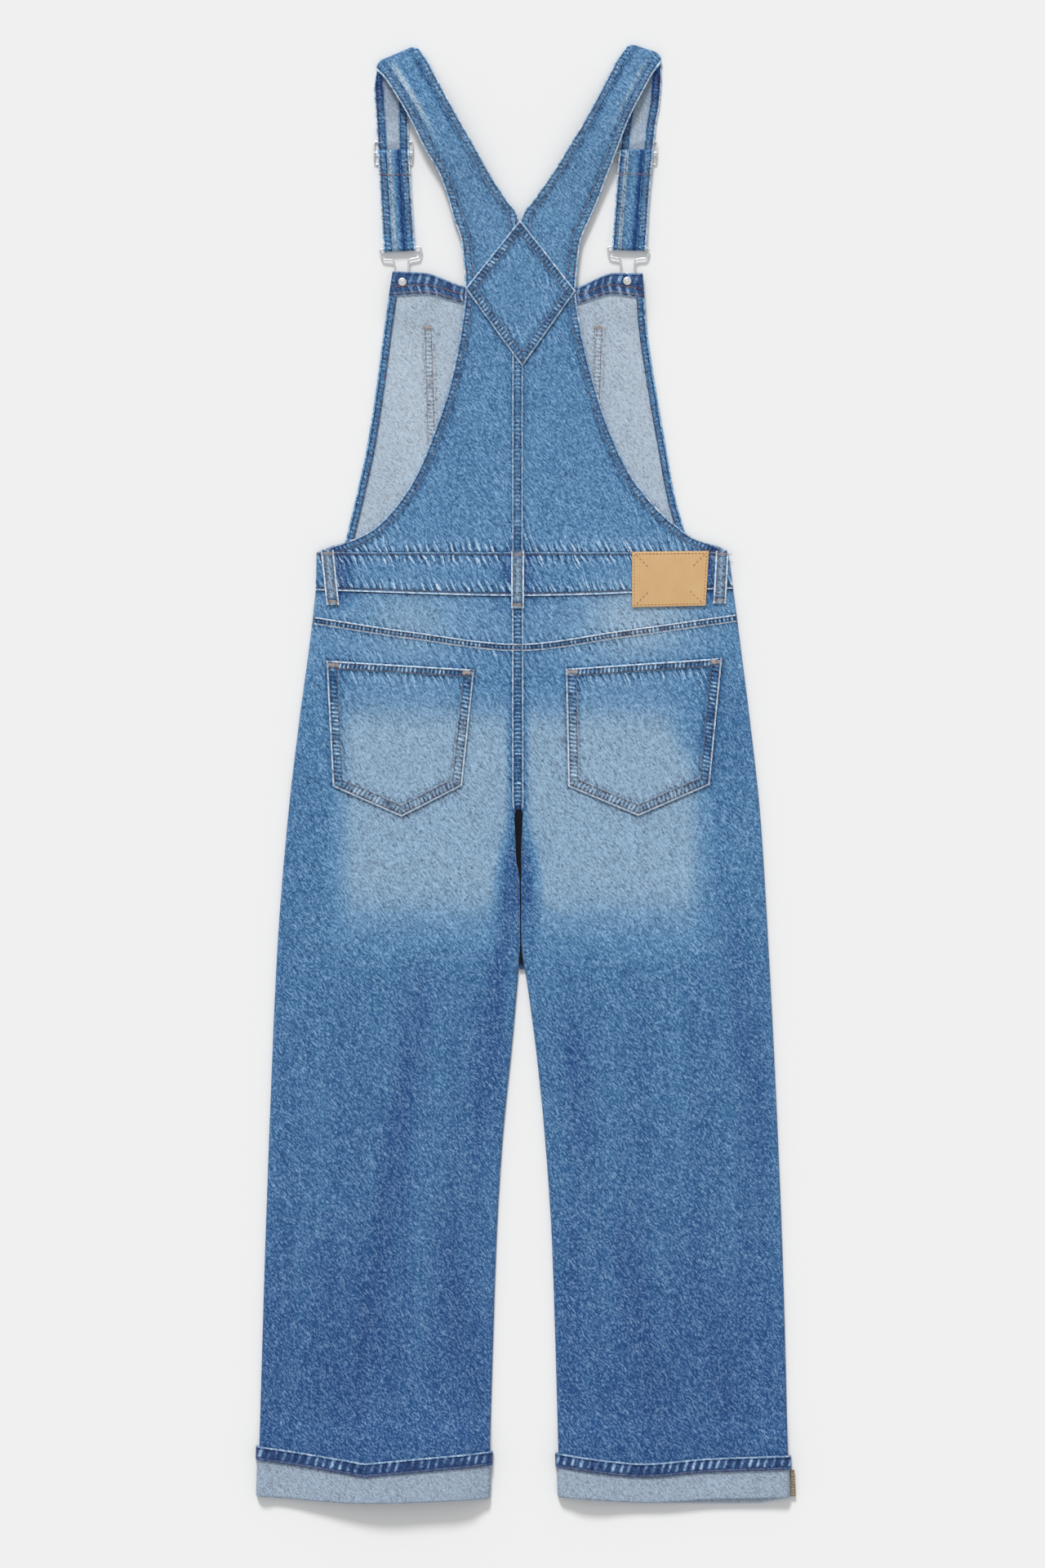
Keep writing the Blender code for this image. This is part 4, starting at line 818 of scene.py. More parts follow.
def makeBackHem(side):
    # the stitched hem along the cuff's upper edge, drawn into slanted ridges by its thread
    left, right = legSides(side)
    above = cloth["gap"] + cloth["hemThick"]
    out = cloth["cuffOut"] + above
    count = 2 * len(sideAngles) + cuff["hemMiddle"] + 1
    v, column = np.meshgrid(evenly(12), np.arange(count), indexing="ij")
    grids = []
    for depth in (0.0, cloth["hemThick"]):
        x = mix(left(-665.0), right(-665.0), column / (count - 1))
        for _ in range(3):
            y = cuffTopLine[side](x) - cloth["hemWidth"] * v
            x, z = archSection(
                left(y) - out, right(y) + out, restHeight, y, column, cuff["hemMiddle"],
                cuffRaise + above, depth, evenRound, cloth["sideRound"] + out,
            )
        grids.append(np.stack([x, y, z], axis=-1))
    x = grids[0][..., 0]
    run = x * 0.66 + v * 2.2 + 0.8 * np.sin(x * 0.11)
    grids[0][..., 2] += cuff["hemRidges"] * np.sin(run) * np.sin(np.pi * np.clip(v * 1.02, 0, 1))
    grids[0][..., 2] += cuff["hemLip"] * np.exp(-((v - 0.06) / 0.06) ** 2)
    facts = bandFacts(v * cloth["hemWidth"], 0.52 * x + 1300.0, 12.6, 0.7, 0.8)
    facts["tone"] = cuff["hemTone"] + 0.08 * np.sin(run)
    piece = closedWall(side + "CuffHem", *grids, facts)
    keep(piece, [f"hem_back_{side}"], (0.236, 0.0136), 0.0032, [side + "BackCuff"])


for side in ("left", "right"):
    makeBackCuff(side)
    makeBackHem(side)


print("stage: front bib")
bib = {"tone": 0.63, "topTone": 0.28, "sideTone": 0.4, "sideHem": 8.0, "pocketEdge": 0.22, "hemRidges": 0.26}


def bibUnder(x, y):
    left, right = frontLeft(y), frontRight(y)
    pocketLeft = bibPocket["left"] - bibPocket["margin"]
    pocketRight = bibPocket["right"] + bibPocket["margin"]
    fromLeft = np.clip((x - left) / (pocketLeft - left), 0.0, 1.0)
    fromRight = np.clip((right - x) / (right - pocketRight), 0.0, 1.0)
    under = restHeight * np.minimum(fromLeft, fromRight) * ease(236.0, 277.0, y)
    for atX, atY, _ in buttons.values():
        near = ease(52.0, 24.0, np.hypot(x - atX, y - atY))
        under = mix(under, cloth["buttonUnder"], near)
    return under


def bibGrid(lowLine, highLine, startLine, endLine, rowShares, columnShares):
    v, u = np.meshgrid(rowShares, columnShares, indexing="ij")
    y = mix(cloth["waistTop"], 480.0, v)
    for _ in range(5):
        x = mix(startLine(y), endLine(y), u)
        y = mix(lowLine(x), highLine(x), v)
    return x, y, bibUnder(x, y)


def hemLine(x):
    return bibTopLine(x) - np.interp(x, [row[0] for row in bibHemDepth], [row[1] for row in bibHemDepth])


def makeFrontBib():
    low, high = cloth["thick"] + cloth["gap"], cloth["thick"] + cloth["gap"] + cloth["hemThick"]
    x, y, z = bibGrid(
        lambda x: cloth["waistTop"] + 0.0 * x, bibTopLine, frontLeft, frontRight, evenly(90), evenly(100),
    )
    facts = seamFacts(x, y, ["bibPocketLeft", "bibPocketRight"])
    facts["tone"] = bib["tone"] + 0.03 * np.sin(x * 0.05 + y * 0.02)
    outer, inner = layerGrid(x, y, z, 0.0, cloth["thick"])
    # the bib pocket on the other side shows as a low edge
    pocket = np.minimum(
        np.minimum(x - bibPocket["left"] - 3, bibPocket["right"] - 3 - x),
        np.minimum(y - bibPocket["bottom"], bibPocket["top"] - y),
    )
    outer[..., 2] += bib["pocketEdge"] * np.exp(-(np.abs(pocket - 4.0) / 2.6) ** 2) * (z > 0.9)
    keep(
        closedWall("frontBib", outer, inner, facts), ["front_bib"], (0.339, 0.273), 0.074,
        ["waistband_front"], ["bibTopHem", "leftBibHem", "rightBibHem"],
    )
    x, y, z = bibGrid(hemLine, bibTopLine, frontLeft, frontRight, evenly(16), evenly(170))
    toTop, toHem = bibTopLine(x) - y, y - hemLine(x)
    facts = bandFacts(np.minimum(toTop, toHem + 1.5), 0.5 * x + 1700.0, 13.0, 0.5, 0.5)
    waves = 0.12 * np.sin(x * 0.31 + 2.4 * np.sin(x * 0.13))
    facts["tone"] = bib["topTone"] + waves + 0.3 * ease(5.0, 1.0, toHem)
    outer, inner = layerGrid(x, y, z, low, high)
    ridge = np.sin(x * 0.8 + 1.7 * np.sin(x * 0.11)) * np.sin(np.pi * np.clip(toHem / 16, 0, 1))
    outer[..., 2] += bib["hemRidges"] * ridge
    keep(closedWall("bibTopHem", outer, inner, facts), ["bib_top_hem"])
    sideHems = {
        "left": (frontLeft, lambda y: frontLeft(y) + bib["sideHem"]),
        "right": (lambda y: frontRight(y) - bib["sideHem"], frontRight),
    }
    for side, (start, end) in sideHems.items():
        x, y, z = bibGrid(
            lambda x: cloth["waistTop"] + 0.0 * x, lambda x: hemLine(x) - cloth["gap"], start, end,
            evenly(120), evenly(8),
        )
        fromEdge = np.abs(x - (start(y) if side == "left" else end(y)))
        facts = bandFacts(fromEdge, y + 2100.0, 8.6, 0.2, 0.5)
        facts["tone"] = bib["sideTone"] + 0.05 * np.sin(y * 0.4)
        outer, inner = layerGrid(x, y, z, low, high)
        keep(closedWall(side + "BibHem", outer, inner, facts), [f"bib_side_hem_{side}"])


makeFrontBib()


print("stage: straps")
straps = {
    "left": {  # rows of outer x, outer y, inner x, inner y
        "back": [
            (-58.6, 470.3, -5.7, 470.3), (-59.6, 486.0, -5.7, 486.0), (-61.0, 501.0, -5.7, 501.0),
            (-62.5, 515.3, -5.7, 515.3), (-65.8, 527.0, -5.7, 527.0), (-69.7, 536.7, -6.2, 536.7),
            (-75.0, 556.0, -19.5, 558.0), (-84.0, 581.2, -35.5, 583.0), (-98.3, 606.0, -48.5, 606.5),
            (-112.5, 634.4, -66.0, 637.0), (-127.0, 659.5, -80.5, 664.0), (-140.5, 680.5, -93.0, 688.0),
        ],
        "fold": (-147.8, 689.2, -104.4, 707.6),
        "front": [
            (-147.6, 668.0, -110.5, 676.0), (-146.4, 649.5, -113.9, 649.5), (-145.0, 628.0, -113.7, 628.0),
            (-144.2, 613.0, -113.5, 613.0), (-143.6, 602.5, -113.2, 602.5), (-142.8, 591.0, -112.6, 591.0),
            (-142.0, 576.0, -111.8, 576.0), (-140.6, 548.0, -110.0, 548.0), (-139.2, 524.0, -108.4, 524.0),
        ],
        "end": (-138.2, -107.2),
    },
    "right": {
        "back": [
            (48.6, 470.3, -5.4, 470.3), (49.8, 486.0, -5.4, 486.0), (51.4, 501.0, -5.4, 501.0),
            (53.4, 515.3, -5.4, 515.3), (57.6, 527.0, -5.4, 527.0), (62.1, 536.7, -4.9, 536.7),
            (70.5, 556.0, 9.0, 558.0), (80.0, 581.2, 26.5, 583.0), (89.5, 606.0, 42.0, 608.0),
            (100.4, 634.4, 60.0, 638.0), (113.0, 659.5, 75.0, 666.5), (124.6, 681.0, 87.5, 691.0),
        ],
        "fold": (134.4, 697.4, 98.2, 709.5),
        "front": [
            (132.6, 676.0, 98.4, 684.0), (130.5, 649.5, 97.0, 652.0), (126.6, 628.0, 93.5, 628.0),
            (125.0, 613.0, 92.0, 613.0), (124.0, 602.5, 91.0, 602.5), (122.9, 591.0, 90.0, 591.0),
            (121.6, 576.0, 88.8, 576.0), (119.6, 548.0, 86.6, 548.0), (118.2, 524.0, 84.8, 524.0),
        ],
        "end": (117.0, 83.8),
    },
}
frontUnder = ([575.0, 591.0, 602.5, 613.0, 630.0], [0.0, 2.0, 0.0, 2.0, 0.0])
returnTop = [(524.0, 4.7), (548.0, 4.3), (576.0, 4.7), (591.0, 5.9), (602.5, 5.8)]
strapForm = {
    "wide": 48.0, "column": 1.6, "step": 3.0, "turns": 12, "shoulder": 2.4, "bend": 3.1, "hem": 9.4,
    "rise": 0.35, "arch": 5.0, "corner": 6.0,
}
sliderRows = (613.0, 602.5, 591.0)
sliderMiddle = 2.9
strapFaces = {}  # outer and inner grids and the part of each row, for the stitch rows


def barY(side, x):
    atX, atY, tilt = buttons[side]
    turn = radians(tilt)
    middleX = atX - barAway * sin(turn)
    return atY + barAway * cos(turn) + (x - middleX) * sin(turn) / cos(turn)


def smoothRows(rows, step):
    # rows of four numbers resampled evenly through a smooth curve
    rows = np.array(rows, float)
    run = runAlong(rows[:, 0] + rows[:, 2], rows[:, 1] + rows[:, 3]) / 2
    places = np.linspace(0.0, run[-1], int(run[-1] / step) + 2)
    return np.stack([curveOf(list(zip(run, rows[:, k])))(places) for k in range(4)], axis=1)


# stripes worn along the straps: share across from the outer edge, half width, change
strapStripes = {
    "left": {"back": [(0.31, 0.075, 0.55), (0.5, 0.08, -0.14), (0.2, 0.03, -0.24), (0.78, 0.06, -0.22)],
             "end": [(0.36, 0.07, 0.62), (0.24, 0.03, -0.3), (0.66, 0.09, -0.5)]},
    "right": {"back": [(0.3, 0.07, 0.32), (0.2, 0.04, -0.2), (0.78, 0.06, -0.18)],
              "end": [(0.77, 0.06, 0.55), (0.34, 0.09, -0.5), (0.88, 0.03, -0.24)]},
}


def strapArch(y):
    # the free run stands off the layer below it and comes down to its fold at the shoulder
    return strapForm["arch"] * ease(548.0, 610.0, y) * (1.0 - ease(645.0, 694.0, y))


def stripes(rows, share):
    return sum(change * np.exp(-(((share - at) / half) ** 2)) for at, half, change in rows)


def flatFace(top, x, y):
    return (x, y, top), (x, y, top - cloth["strapThick"])


def bentFace(size, angle, ahead, back, middle, over=1):
    # a row round a bend, outer and inner; the bend lies ahead of the row, and over is -1 below its middle
    def face(x, y):
        faces = []
        for radius in (size, size - cloth["strapThick"]):
            reach = radius * sin(angle) - back
            z = middle + over * radius * cos(angle) + 0.0 * x
            faces.append((x + ahead[0] * reach, y + ahead[1] * reach, z))
        return faces

    return face


def makeStrap(side):
    table = straps[side]
    shares = columnsWith(strapForm["wide"], strapForm["column"])
    halfTurn = np.radians(evenly(strapForm["turns"], 0.0, 180.0))
    outer, inner, part = [], [], []

    def across(number, start, end, face):
        x, y = mix(start[0], end[0], shares), mix(start[1], end[1], shares)
        top, under = face(x, y)
        outer.append(np.stack(top, axis=-1))
        inner.append(np.stack(under, axis=-1))
        part.append(number)

    # 0: up the back, 1: over the shoulder, 2: down the front
    for row in smoothRows(table["back"], strapForm["step"]):
        across(0, row[:2], row[2:], lambda x, y: flatFace(crown(x, y) + strapArch(y), x, y))
    fold = np.array(table["fold"])
    away = np.array([-(fold[3] - fold[1]), fold[2] - fold[0]])
    away = away / np.hypot(*away)
    away = away * np.sign(away[1])
    shoulder, bend = strapForm["shoulder"], strapForm["bend"]
    for angle in halfTurn:
        across(1, fold[:2], fold[2:], bentFace(shoulder, angle, away, shoulder, shoulder))

    def frontFace(x, y):
        under = np.interp(y, *frontUnder)
        return (x, y, under), (x, y, under + cloth["strapThick"])

    for row in smoothRows(table["front"], strapForm["step"]):
        across(2, row[:2], row[2:], frontFace)
    # 3: round the buckle's bar, 4: back up on top, 5: into the slider
    endOuter, endInner = table["end"]
    barEnds = (endOuter, barY(side, endOuter)), (endInner, barY(side, endInner))
    for angle in halfTurn:
        across(3, *barEnds, bentFace(bend, angle, (0, -1), 0.0, bend, -1))
    topOf = curveOf(returnTop)
    frontRows = sorted(table["front"], key=lambda row: row[1])
    rowsY = [row[1] for row in frontRows]
    for y in np.linspace(524.0, sliderRows[1], 30):
        startX = np.interp(y, rowsY, [row[0] for row in frontRows])
        endX = np.interp(y, rowsY, [row[2] for row in frontRows])
        across(4, (startX, y), (endX, y), lambda x, y: flatFace(topOf(y), x, y))
    topRadius = returnTop[-1][1] - sliderMiddle
    row = table["front"][4]
    for angle in np.radians([15.0, 30.0, 45.0, 60.0, 75.0, 90.0]):
        across(
            5, (row[0], sliderRows[1]), (row[2], sliderRows[1]),
            bentFace(topRadius, angle, (0, 1), 0.0, sliderMiddle),
        )
    outer, inner, part = np.stack(outer), np.stack(inner), np.array(part)
    width = np.linalg.norm(outer[:, -1] - outer[:, 0], axis=1)[:, None]
    edge = np.minimum(shares, 1 - shares)[None, :] * width
    # the corners of the fold are worn round
    for face in (outer, inner):
        beyond = (face[..., 0] - fold[0]) * away[0] + (face[..., 1] - fold[1]) * away[1]
        pulled = strapForm["corner"] * (1.0 - np.clip(edge / 9.0, 0.0, 1.0)) ** 2 * ease(-26.0, 0.0, beyond)
        pulled = pulled * (face[..., 1] > 640.0)
        face[..., 0] -= away[0] * pulled
        face[..., 1] -= away[1] * pulled
    middle = outer.mean(axis=1)
    run = np.concatenate([[0.0], np.cumsum(np.linalg.norm(np.diff(middle, axis=0), axis=1))])
    along = run[:, None] + np.where(shares < 0.5, 0.0, 1500.0)[None, :] + 0.0 * edge
    lift = raised(edge, strapForm["hem"], strapForm["rise"])
    outer[..., 2] += lift * np.isin(part, [0, 4])[:, None] * np.clip(run[:, None] / 6, 0, 1)
    worn = strapStripes[side]
    nearShoulder = ease(130.0, 210.0, run)[:, None] * (part == 0)[:, None]
    tone = toneAt(outer[..., 0], outer[..., 1]) + 0.05
    tone = tone + stripes(worn["back"], shares)[None, :] * nearShoulder
    tone = tone + stripes(worn["end"], shares)[None, :] * (part >= 3)[:, None]
    # the front run is painted darker up towards the shoulder fold: painted shade under the fold
    tone = np.where((part == 2)[:, None], 0.42 - 0.5 * ease(630.0, 685.0, outer[..., 1]), tone)
    facts = bandFacts(edge, along, strapForm["hem"], 0.26, 0.8)
    facts["tone"] = np.clip(tone, 0, 1)
    facts["reverseInside"] = ease(strapForm["hem"] - 0.6, strapForm["hem"] + 0.6, edge)
    strapFaces[side] = outer, inner, part
    piece = closedWall(side + "Strap", outer, inner, facts)
    keep(piece, [f"strap_{side}"], (0.0556, 0.5), 0.0216, ["frontBib", f"buckle_{side}"])


for side in ("left", "right"):
    makeStrap(side)


print("stage: felled seams")
stitchRows = {"tan": [], "rust": [], "tack": []}


def addRow(kind, x, y, z):
    stitchRows[kind].append(np.stack([x, y, z + 0.0 * x], axis=-1))


def pathNormals(x, y):
    stepX, stepY = np.gradient(x), np.gradient(y)
    size = np.hypot(stepX, stepY)
    return -stepY / size, stepX / size


felled = {
    "rise": 0.55,
    # places across the seam, from -1 to 1, and its height there as a share of the rise
    "across": [-1.0, -0.97, -0.88, -0.7, -0.4, 0.0, 0.4, 0.7, 0.88, 0.97, 1.0],
    "heights": [-0.25, 0.35, 0.9, 1.0, 0.8, 0.72, 0.8, 1.0, 0.9, 0.35, -0.25],
    "wave": 0.12,
}


def makeFelled(name, count, widths, height, beyond=()):
    # beyond is more of the line, without stitches
    points, width, _, _, drawn, worn, _ = seams[name]
    table = np.array(list(points) + list(beyond), float)
    run = runAlong(*table.T)
    places = np.linspace(0.0, run[-1], count)
    lineX, lineY = [curveOf(list(zip(run, table[:, k])))(places) for k in range(2)]
    normalX, normalY = pathNormals(lineX, lineY)
    shares = np.array(felled["across"]) / 2
    wide = widths(places / run[-1]) * width
    x = lineX[:, None] + normalX[:, None] * shares * wide[:, None]
    y = lineY[:, None] + normalY[:, None] * shares * wide[:, None]
    waves = np.sin(places * 1.35 + 1.2 * np.sin(places * 0.31))[:, None] * (1 - (2 * shares) ** 2)
    z = height(x, y)
    rises = np.array(felled["heights"]) * felled["rise"]
    outer = np.stack([x, y, z + rises + felled["wave"] * waves], axis=-1)
    inner = np.stack([x, y, z - 0.5], axis=-1)
    # in the crotch there is no band: the strip is painted near black as the shadow in the slit, then lighter
    # towards the end of the slit where the legs part
    edge = (0.5 - np.abs(shares)) * wide[:, None] + 90.0 * (y < -36.0)
    facts = bandFacts(edge, places[:, None] + 3100.0, width + 3.0, drawn, worn)
    # near black in the slit, rising to dark blue at its end: painted shadow
    facts["tone"] = np.clip(toneAt(x, y) + 0.02, 0, 1) - 1.4 * ease(-30.0, -44.0, y)
    facts["tone"] += 1.02 * ease(-168.0, -191.0, y)
    keep(closedWall(name, outer, inner, facts), [])
    sewn = places <= run[len(points) - 1]
    for share in (-1.0, 1.0):
        offset = share * (wide / 2 - 1.5)
        atX, atY = (lineX + normalX * offset)[sewn], (lineY + normalY * offset)[sewn]
        addRow("tan", atX, atY, height(atX, atY) + felled["rise"] + 0.1)


def full(share):
    return np.ones_like(share)


def intoCrotch(share):
    # the seat seam's strip narrows below its stitches and opens again at the end of the slit; below its
    # stitches it is a painted shadow sheet in the slit
    places, widths = [0.56, 0.62, 0.72, 0.78, 0.93, 0.97, 1.0], [1.0, 0.66, 0.6, 0.26, 0.2, 0.34, 0.46]
    return np.interp(share, places, widths)


def intoNotch(x, y):
    return mix(crown(x, y), restHeight + 0.9, ease(-26.0, -62.0, y))


makeFelled("bibSeam", 150, full, crown)
# the seat seam runs on without stitches as a dark strip down the slit: painted shadow
makeFelled(
    "seatSeam", 240, intoCrotch, intoNotch,
    [(-6.9, -62.0), (-6.7, -92.0), (-4.9, -112.0), (-4.7, -174.0), (-4.2, -184.0), (-3.8, -191.0)],
)
makeFelled("yokeSeam", 220, full, sideHeight)


print("stage: stitch rows")


def insetLine(points, inset, closed):
    # a polyline moved sideways, with its corners kept; the inset is to the left of its direction
    table = np.array(points, float)
    steps = np.diff(table, axis=0)
    steps = steps / np.linalg.norm(steps, axis=1)[:, None]
    normals = np.stack([-steps[:, 1], steps[:, 0]], axis=1)
    found = []
    for i in range(len(table)):
        before = normals[i - 1] if i > 0 else (normals[-1] if closed else normals[0])
        after = normals[i] if i < len(normals) else (normals[0] if closed else normals[-1])
        middle = before + after
        middle = middle / np.dot(middle, middle) * 2.0
        found.append(table[i] + middle * inset)
    found = np.array(found)
    dense = []
    for start, end in zip(found[:-1], found[1:]):
        count = max(int(np.linalg.norm(end - start) / 4.0), 1)
        dense += [mix(start, end, t) for t in evenly(count)[:-1]]
    dense.append(found[-1])
    return np.array(dense)


def rowOn(kind, seamName, inset, lift, height=crown, closed=False):
    line = insetLine(seams[seamName][0], inset, closed)
    addRow(kind, line[:, 0], line[:, 1], height(line[:, 0], line[:, 1]) + lift)


# how far each row of thread lies inside its edge
insets = {
    "arm": (1.8, 6.7), "diamond": (2.0, 7.6), "pocket": (1.9, 9.3), "pocketTop": (1.9, 6.8), "waist": 2.4,
    "cuff": 1.4, "bibHem": (2.2, 8.8), "bibSide": 6.4, "leather": 2.1, "loop": 3.6,
}
secondLayer = cloth["gap"] + cloth["thick"]
for distance in insets["arm"]:
    rowOn("tan", "armLeft", distance, 0.62)
    rowOn("tan", "armRight", -distance, 0.62)
for distance in insets["diamond"]:
    rowOn("tan", "diamond", distance, secondLayer + 0.75, closed=True)
for seamName, lift in (("pocket", 0.6), ("pocketTop", 0.85)):
    for distance in insets[seamName]:
        rowOn("tan", seamName + "Left", -distance, secondLayer + lift)
        rowOn("tan", seamName + "Right", -distance, secondLayer + lift)
acrossWaist = np.linspace(-202.0, 199.0, 120)
waistTop = cloth["waistTop"] + 0.0 * acrossWaist
for line in (waistLine(acrossWaist) + insets["waist"], waistTop - insets["waist"]):
    addRow("tan", acrossWaist, line, sideHeight(acrossWaist, line) + cloth["waistbandExtra"] - 0.16)
for side in ("left", "right"):
    # along the cuff's hem, which rounds down at both sides
    left, right = legSides(side)
    across = np.linspace(float(left(-670.0)) + 1.0, float(right(-670.0)) - 1.0, 90)
    line = cuffTopLine[side](across) - cloth["hemWidth"] + insets["cuff"]
    lift = cuffRaise + cloth["gap"] + cloth["hemThick"] + 0.1
    away = np.minimum(across - across[0], across[-1] - across) + 2.5
    dip = 1.0 - np.minimum(away, 7.0) / 7.0
    base = restHeight + (crown(across, line) + lift - restHeight) * np.sqrt(1.0 - dip**2)
    addRow("tan", across, line, base)
acrossBib = np.linspace(-126.0, 111.0, 90)
for distance in insets["bibHem"]:
    line = hemLine(acrossBib) + distance
    addRow("rust", acrossBib, line, bibUnder(acrossBib, line) + cloth["thick"] * 2 + 0.55)
upBib = np.linspace(222.0, 462.0, 80)
for edge, sign in ((frontLeft, 1.0), (frontRight, -1.0)):
    line = edge(upBib) + sign * insets["bibSide"]
    addRow("tan", line, upBib, bibUnder(line, upBib) + cloth["thick"] * 2 + 0.25)
bibRows = {"top": 432.0, "low": 320.0, "slant": 3.2, "apart": 6.0}
for startX, sign in ((bibPocket["left"] + 2.0, 1.0), (bibPocket["right"] - 2.0, -1.0)):
    # two rows down each side of the bib pocket, under a bar tack
    line = np.linspace(bibRows["top"], bibRows["low"], 40)
    for drop in (-0.6, 0.4, 1.4):
        atX = startX + evenly(8, -0.6, 6.6) * sign
        z = bibUnder(atX, bibRows["top"] + 0.0 * atX) + cloth["thick"] + 0.3
        addRow("tack", atX, bibRows["top"] + drop + 0.0 * atX, z)
    for shift in (0.0, bibRows["apart"] * sign):
        atX = startX + shift + sign * bibRows["slant"] * (bibRows["top"] - line) / 110.0
        addRow("tan", atX, line, bibUnder(atX, line) + cloth["thick"] + 0.12)
corners = np.array(leatherPatch["corners"] + leatherPatch["corners"][:1])
leatherLine = insetLine(corners, insets["leather"], True)
leatherZ = crown(leatherLine[:, 0], np.minimum(leatherLine[:, 1], cloth["waistTop"]))
leatherLift = cloth["waistbandExtra"] + cloth["gap"] + cloth["leatherThick"]
addRow("rust", leatherLine[:, 0], leatherLine[:, 1], leatherZ + leatherLift - 0.02)
for cornerX, cornerY in leatherPatch["corners"]:
    # a short slanted row at each corner
    toX, toY = np.sign(leatherPatch["middle"][0] - cornerX), np.sign(leatherPatch["middle"][1] - cornerY)
    x, y = cornerX + toX * evenly(6, 5.0, 14.4), cornerY + toY * evenly(6, 4.2, 13.6)
    addRow("rust", x, y, crown(x, y) + leatherLift + 0.1)
for topX, lowX, topY, lowY in beltLoops.values():
    v = evenly(20)
    for shift in (-insets["loop"], insets["loop"]):
        x, y = mix(lowX, topX, v) + shift, mix(lowY, topY, v)
        addRow("tan", x, y, loopBase(x, y, v) + cloth["loopThick"] + 0.22)
    for share in (0.045, 0.075, 0.915, 0.945):
        x = mix(lowX, topX, share) + evenly(12, -5.4, 5.4)
        y = mix(lowY, topY, share) + 0.0 * x
        addRow("tack", x, y, loopBase(x, y, share) + cloth["loopThick"] - 0.3)
# bar tacks at the back pockets' upper corners: x and y of both ends
pocketTacks = [
    (-191.0, 107.0, -182.0, 106.4), (-61.0, 99.4, -52.2, 98.8), (41.2, 99.6, 50.0, 100.2),
    (180.0, 109.4, 188.8, 109.9),
]
for x0, y0, x1, y1 in pocketTacks:
    for drop in (1.2, 2.3, 3.4):
        x, y = mix(x0, x1, evenly(8)), mix(y0, y1, evenly(8)) - drop
        addRow("tack", x, y, crown(x, y) + secondLayer + 0.95)
strapSewn = {"columns": (3, 7, -8, -4), "backFrom": 4, "frontTo": 26, "endTo": 28, "across": 21}
for outer, inner, part in strapFaces.values():
    back, front, end = outer[part == 0], inner[part == 2], outer[part == 4]
    for column in strapSewn["columns"]:
        for rows in (back[strapSewn["backFrom"]:], front[:strapSewn["frontTo"]], end[:strapSewn["endTo"]]):
            x, y, z = rows[:, column].T
            addRow("tan", x, y, z + 0.06)
    x, y, z = end[strapSewn["across"], 1:-1].T
    addRow("rust", x, y - (x - x[0]) * 0.02, z + 0.1)


print("stage: node tools")
number, colourKind = "NodeSocketFloat", "NodeSocketColor"


def linear(colour):
    # colours are written as 0 to 255
    return tuple(((c / 255 + 0.055) / 1.055) ** 2.4 if c > 10 else c / 255 / 12.92 for c in colour)


class Tree:
    # short words for building a node tree
    def __init__(self, tree):
        self.tree = tree

    def join(self, source, target):
        if isinstance(source, bpy.types.NodeSocket):
            self.tree.links.new(source, target)
        else:
            target.default_value = source

    def put(self, kind, given=None, **settings):
        # a node with its settings, and its inputs joined or set
        node = self.tree.nodes.new(kind)
        for key, value in settings.items():
            setattr(node, key, value)
        for name, value in (given or {}).items():
            self.join(value, node.inputs[name])
        return node

    def math(self, operation, *values):
        return self.put("ShaderNodeMath", dict(enumerate(values)), operation=operation).outputs[0]

    def times(self, value, factor):
        return self.math("MULTIPLY", value, factor)

    def fit(self, value, factor, more):
        return self.math("MULTIPLY_ADD", value, factor, more)

    def sums(self, *values):
        total = values[0]
        for value in values[1:]:
            total = self.math("ADD", total, value)
        return total

    def smooth(self, value, low, high, start=0.0, end=1.0):
        given = {"Value": value, "From Min": low, "From Max": high, "To Min": start, "To Max": end}
        return self.put("ShaderNodeMapRange", given, interpolation_type="SMOOTHSTEP").outputs[0]

    def vector(self, x=0.0, y=0.0, z=0.0):
        return self.put("ShaderNodeCombineXYZ", {"X": x, "Y": y, "Z": z}).outputs[0]

    def split(self, vector):
        return self.put("ShaderNodeSeparateXYZ", {0: vector}).outputs

    def turned(self, vector, angle, scale):
        turn = self.put("ShaderNodeMapping", {"Vector": vector, "Rotation": (0.0, 0.0, radians(angle))})
        return self.put("ShaderNodeMapping", {"Vector": turn.outputs[0], "Scale": scale}).outputs[0]

    def noise(self, vector, scale=1.0, detail=2.0, roughness=0.5):
        given = {"Vector": vector, "Scale": scale, "Detail": detail, "Roughness": roughness}
        return self.put("ShaderNodeTexNoise", given, noise_dimensions="3D").outputs["Fac"]

    def ramp(self, value, stops):
        # stops from -0.25 to 1.25 are fitted to the ramp's 0 to 1
        node = self.put("ShaderNodeValToRGB")
        ramp = node.color_ramp
        while len(ramp.elements) < len(stops):
            ramp.elements.new(0.5)
        for element, (place, colour) in zip(ramp.elements, stops):
            element.position = (place + 0.25) / 1.5
            element.color = (*linear(colour), 1.0)
        self.join(self.fit(value, 1 / 1.5, 0.25 / 1.5), node.inputs["Fac"])
        return node.outputs["Color"]

    def blend(self, share, first, second):
        given = {"Factor": share, "A": first, "B": second}
        return self.put("ShaderNodeMix", given, data_type="RGBA").outputs["Result"]

    def fact(self, name):
        return self.put("ShaderNodeAttribute", attribute_type="GEOMETRY", attribute_name=name).outputs["Fac"]

    def place(self):
        # object coordinates in mm
        where = self.put("ShaderNodeTexCoord").outputs["Object"]
        return self.put("ShaderNodeMapping", {"Scale": (1000.0, 1000.0, 1000.0), "Vector": where}).outputs[0]


def newGroup(name, inputs, outputs, kind="ShaderNodeTree"):
    tree = bpy.data.node_groups.new(name, kind)
    for socketName, socketKind, value in inputs:
        socket = tree.interface.new_socket(socketName, in_out="INPUT", socket_type=socketKind)
        if value is not None:
            socket.default_value = value
    for socketName, socketKind in outputs:
        tree.interface.new_socket(socketName, in_out="OUTPUT", socket_type=socketKind)
    work = Tree(tree)
    return work, work.put("NodeGroupInput").outputs, work.put("NodeGroupOutput").inputs


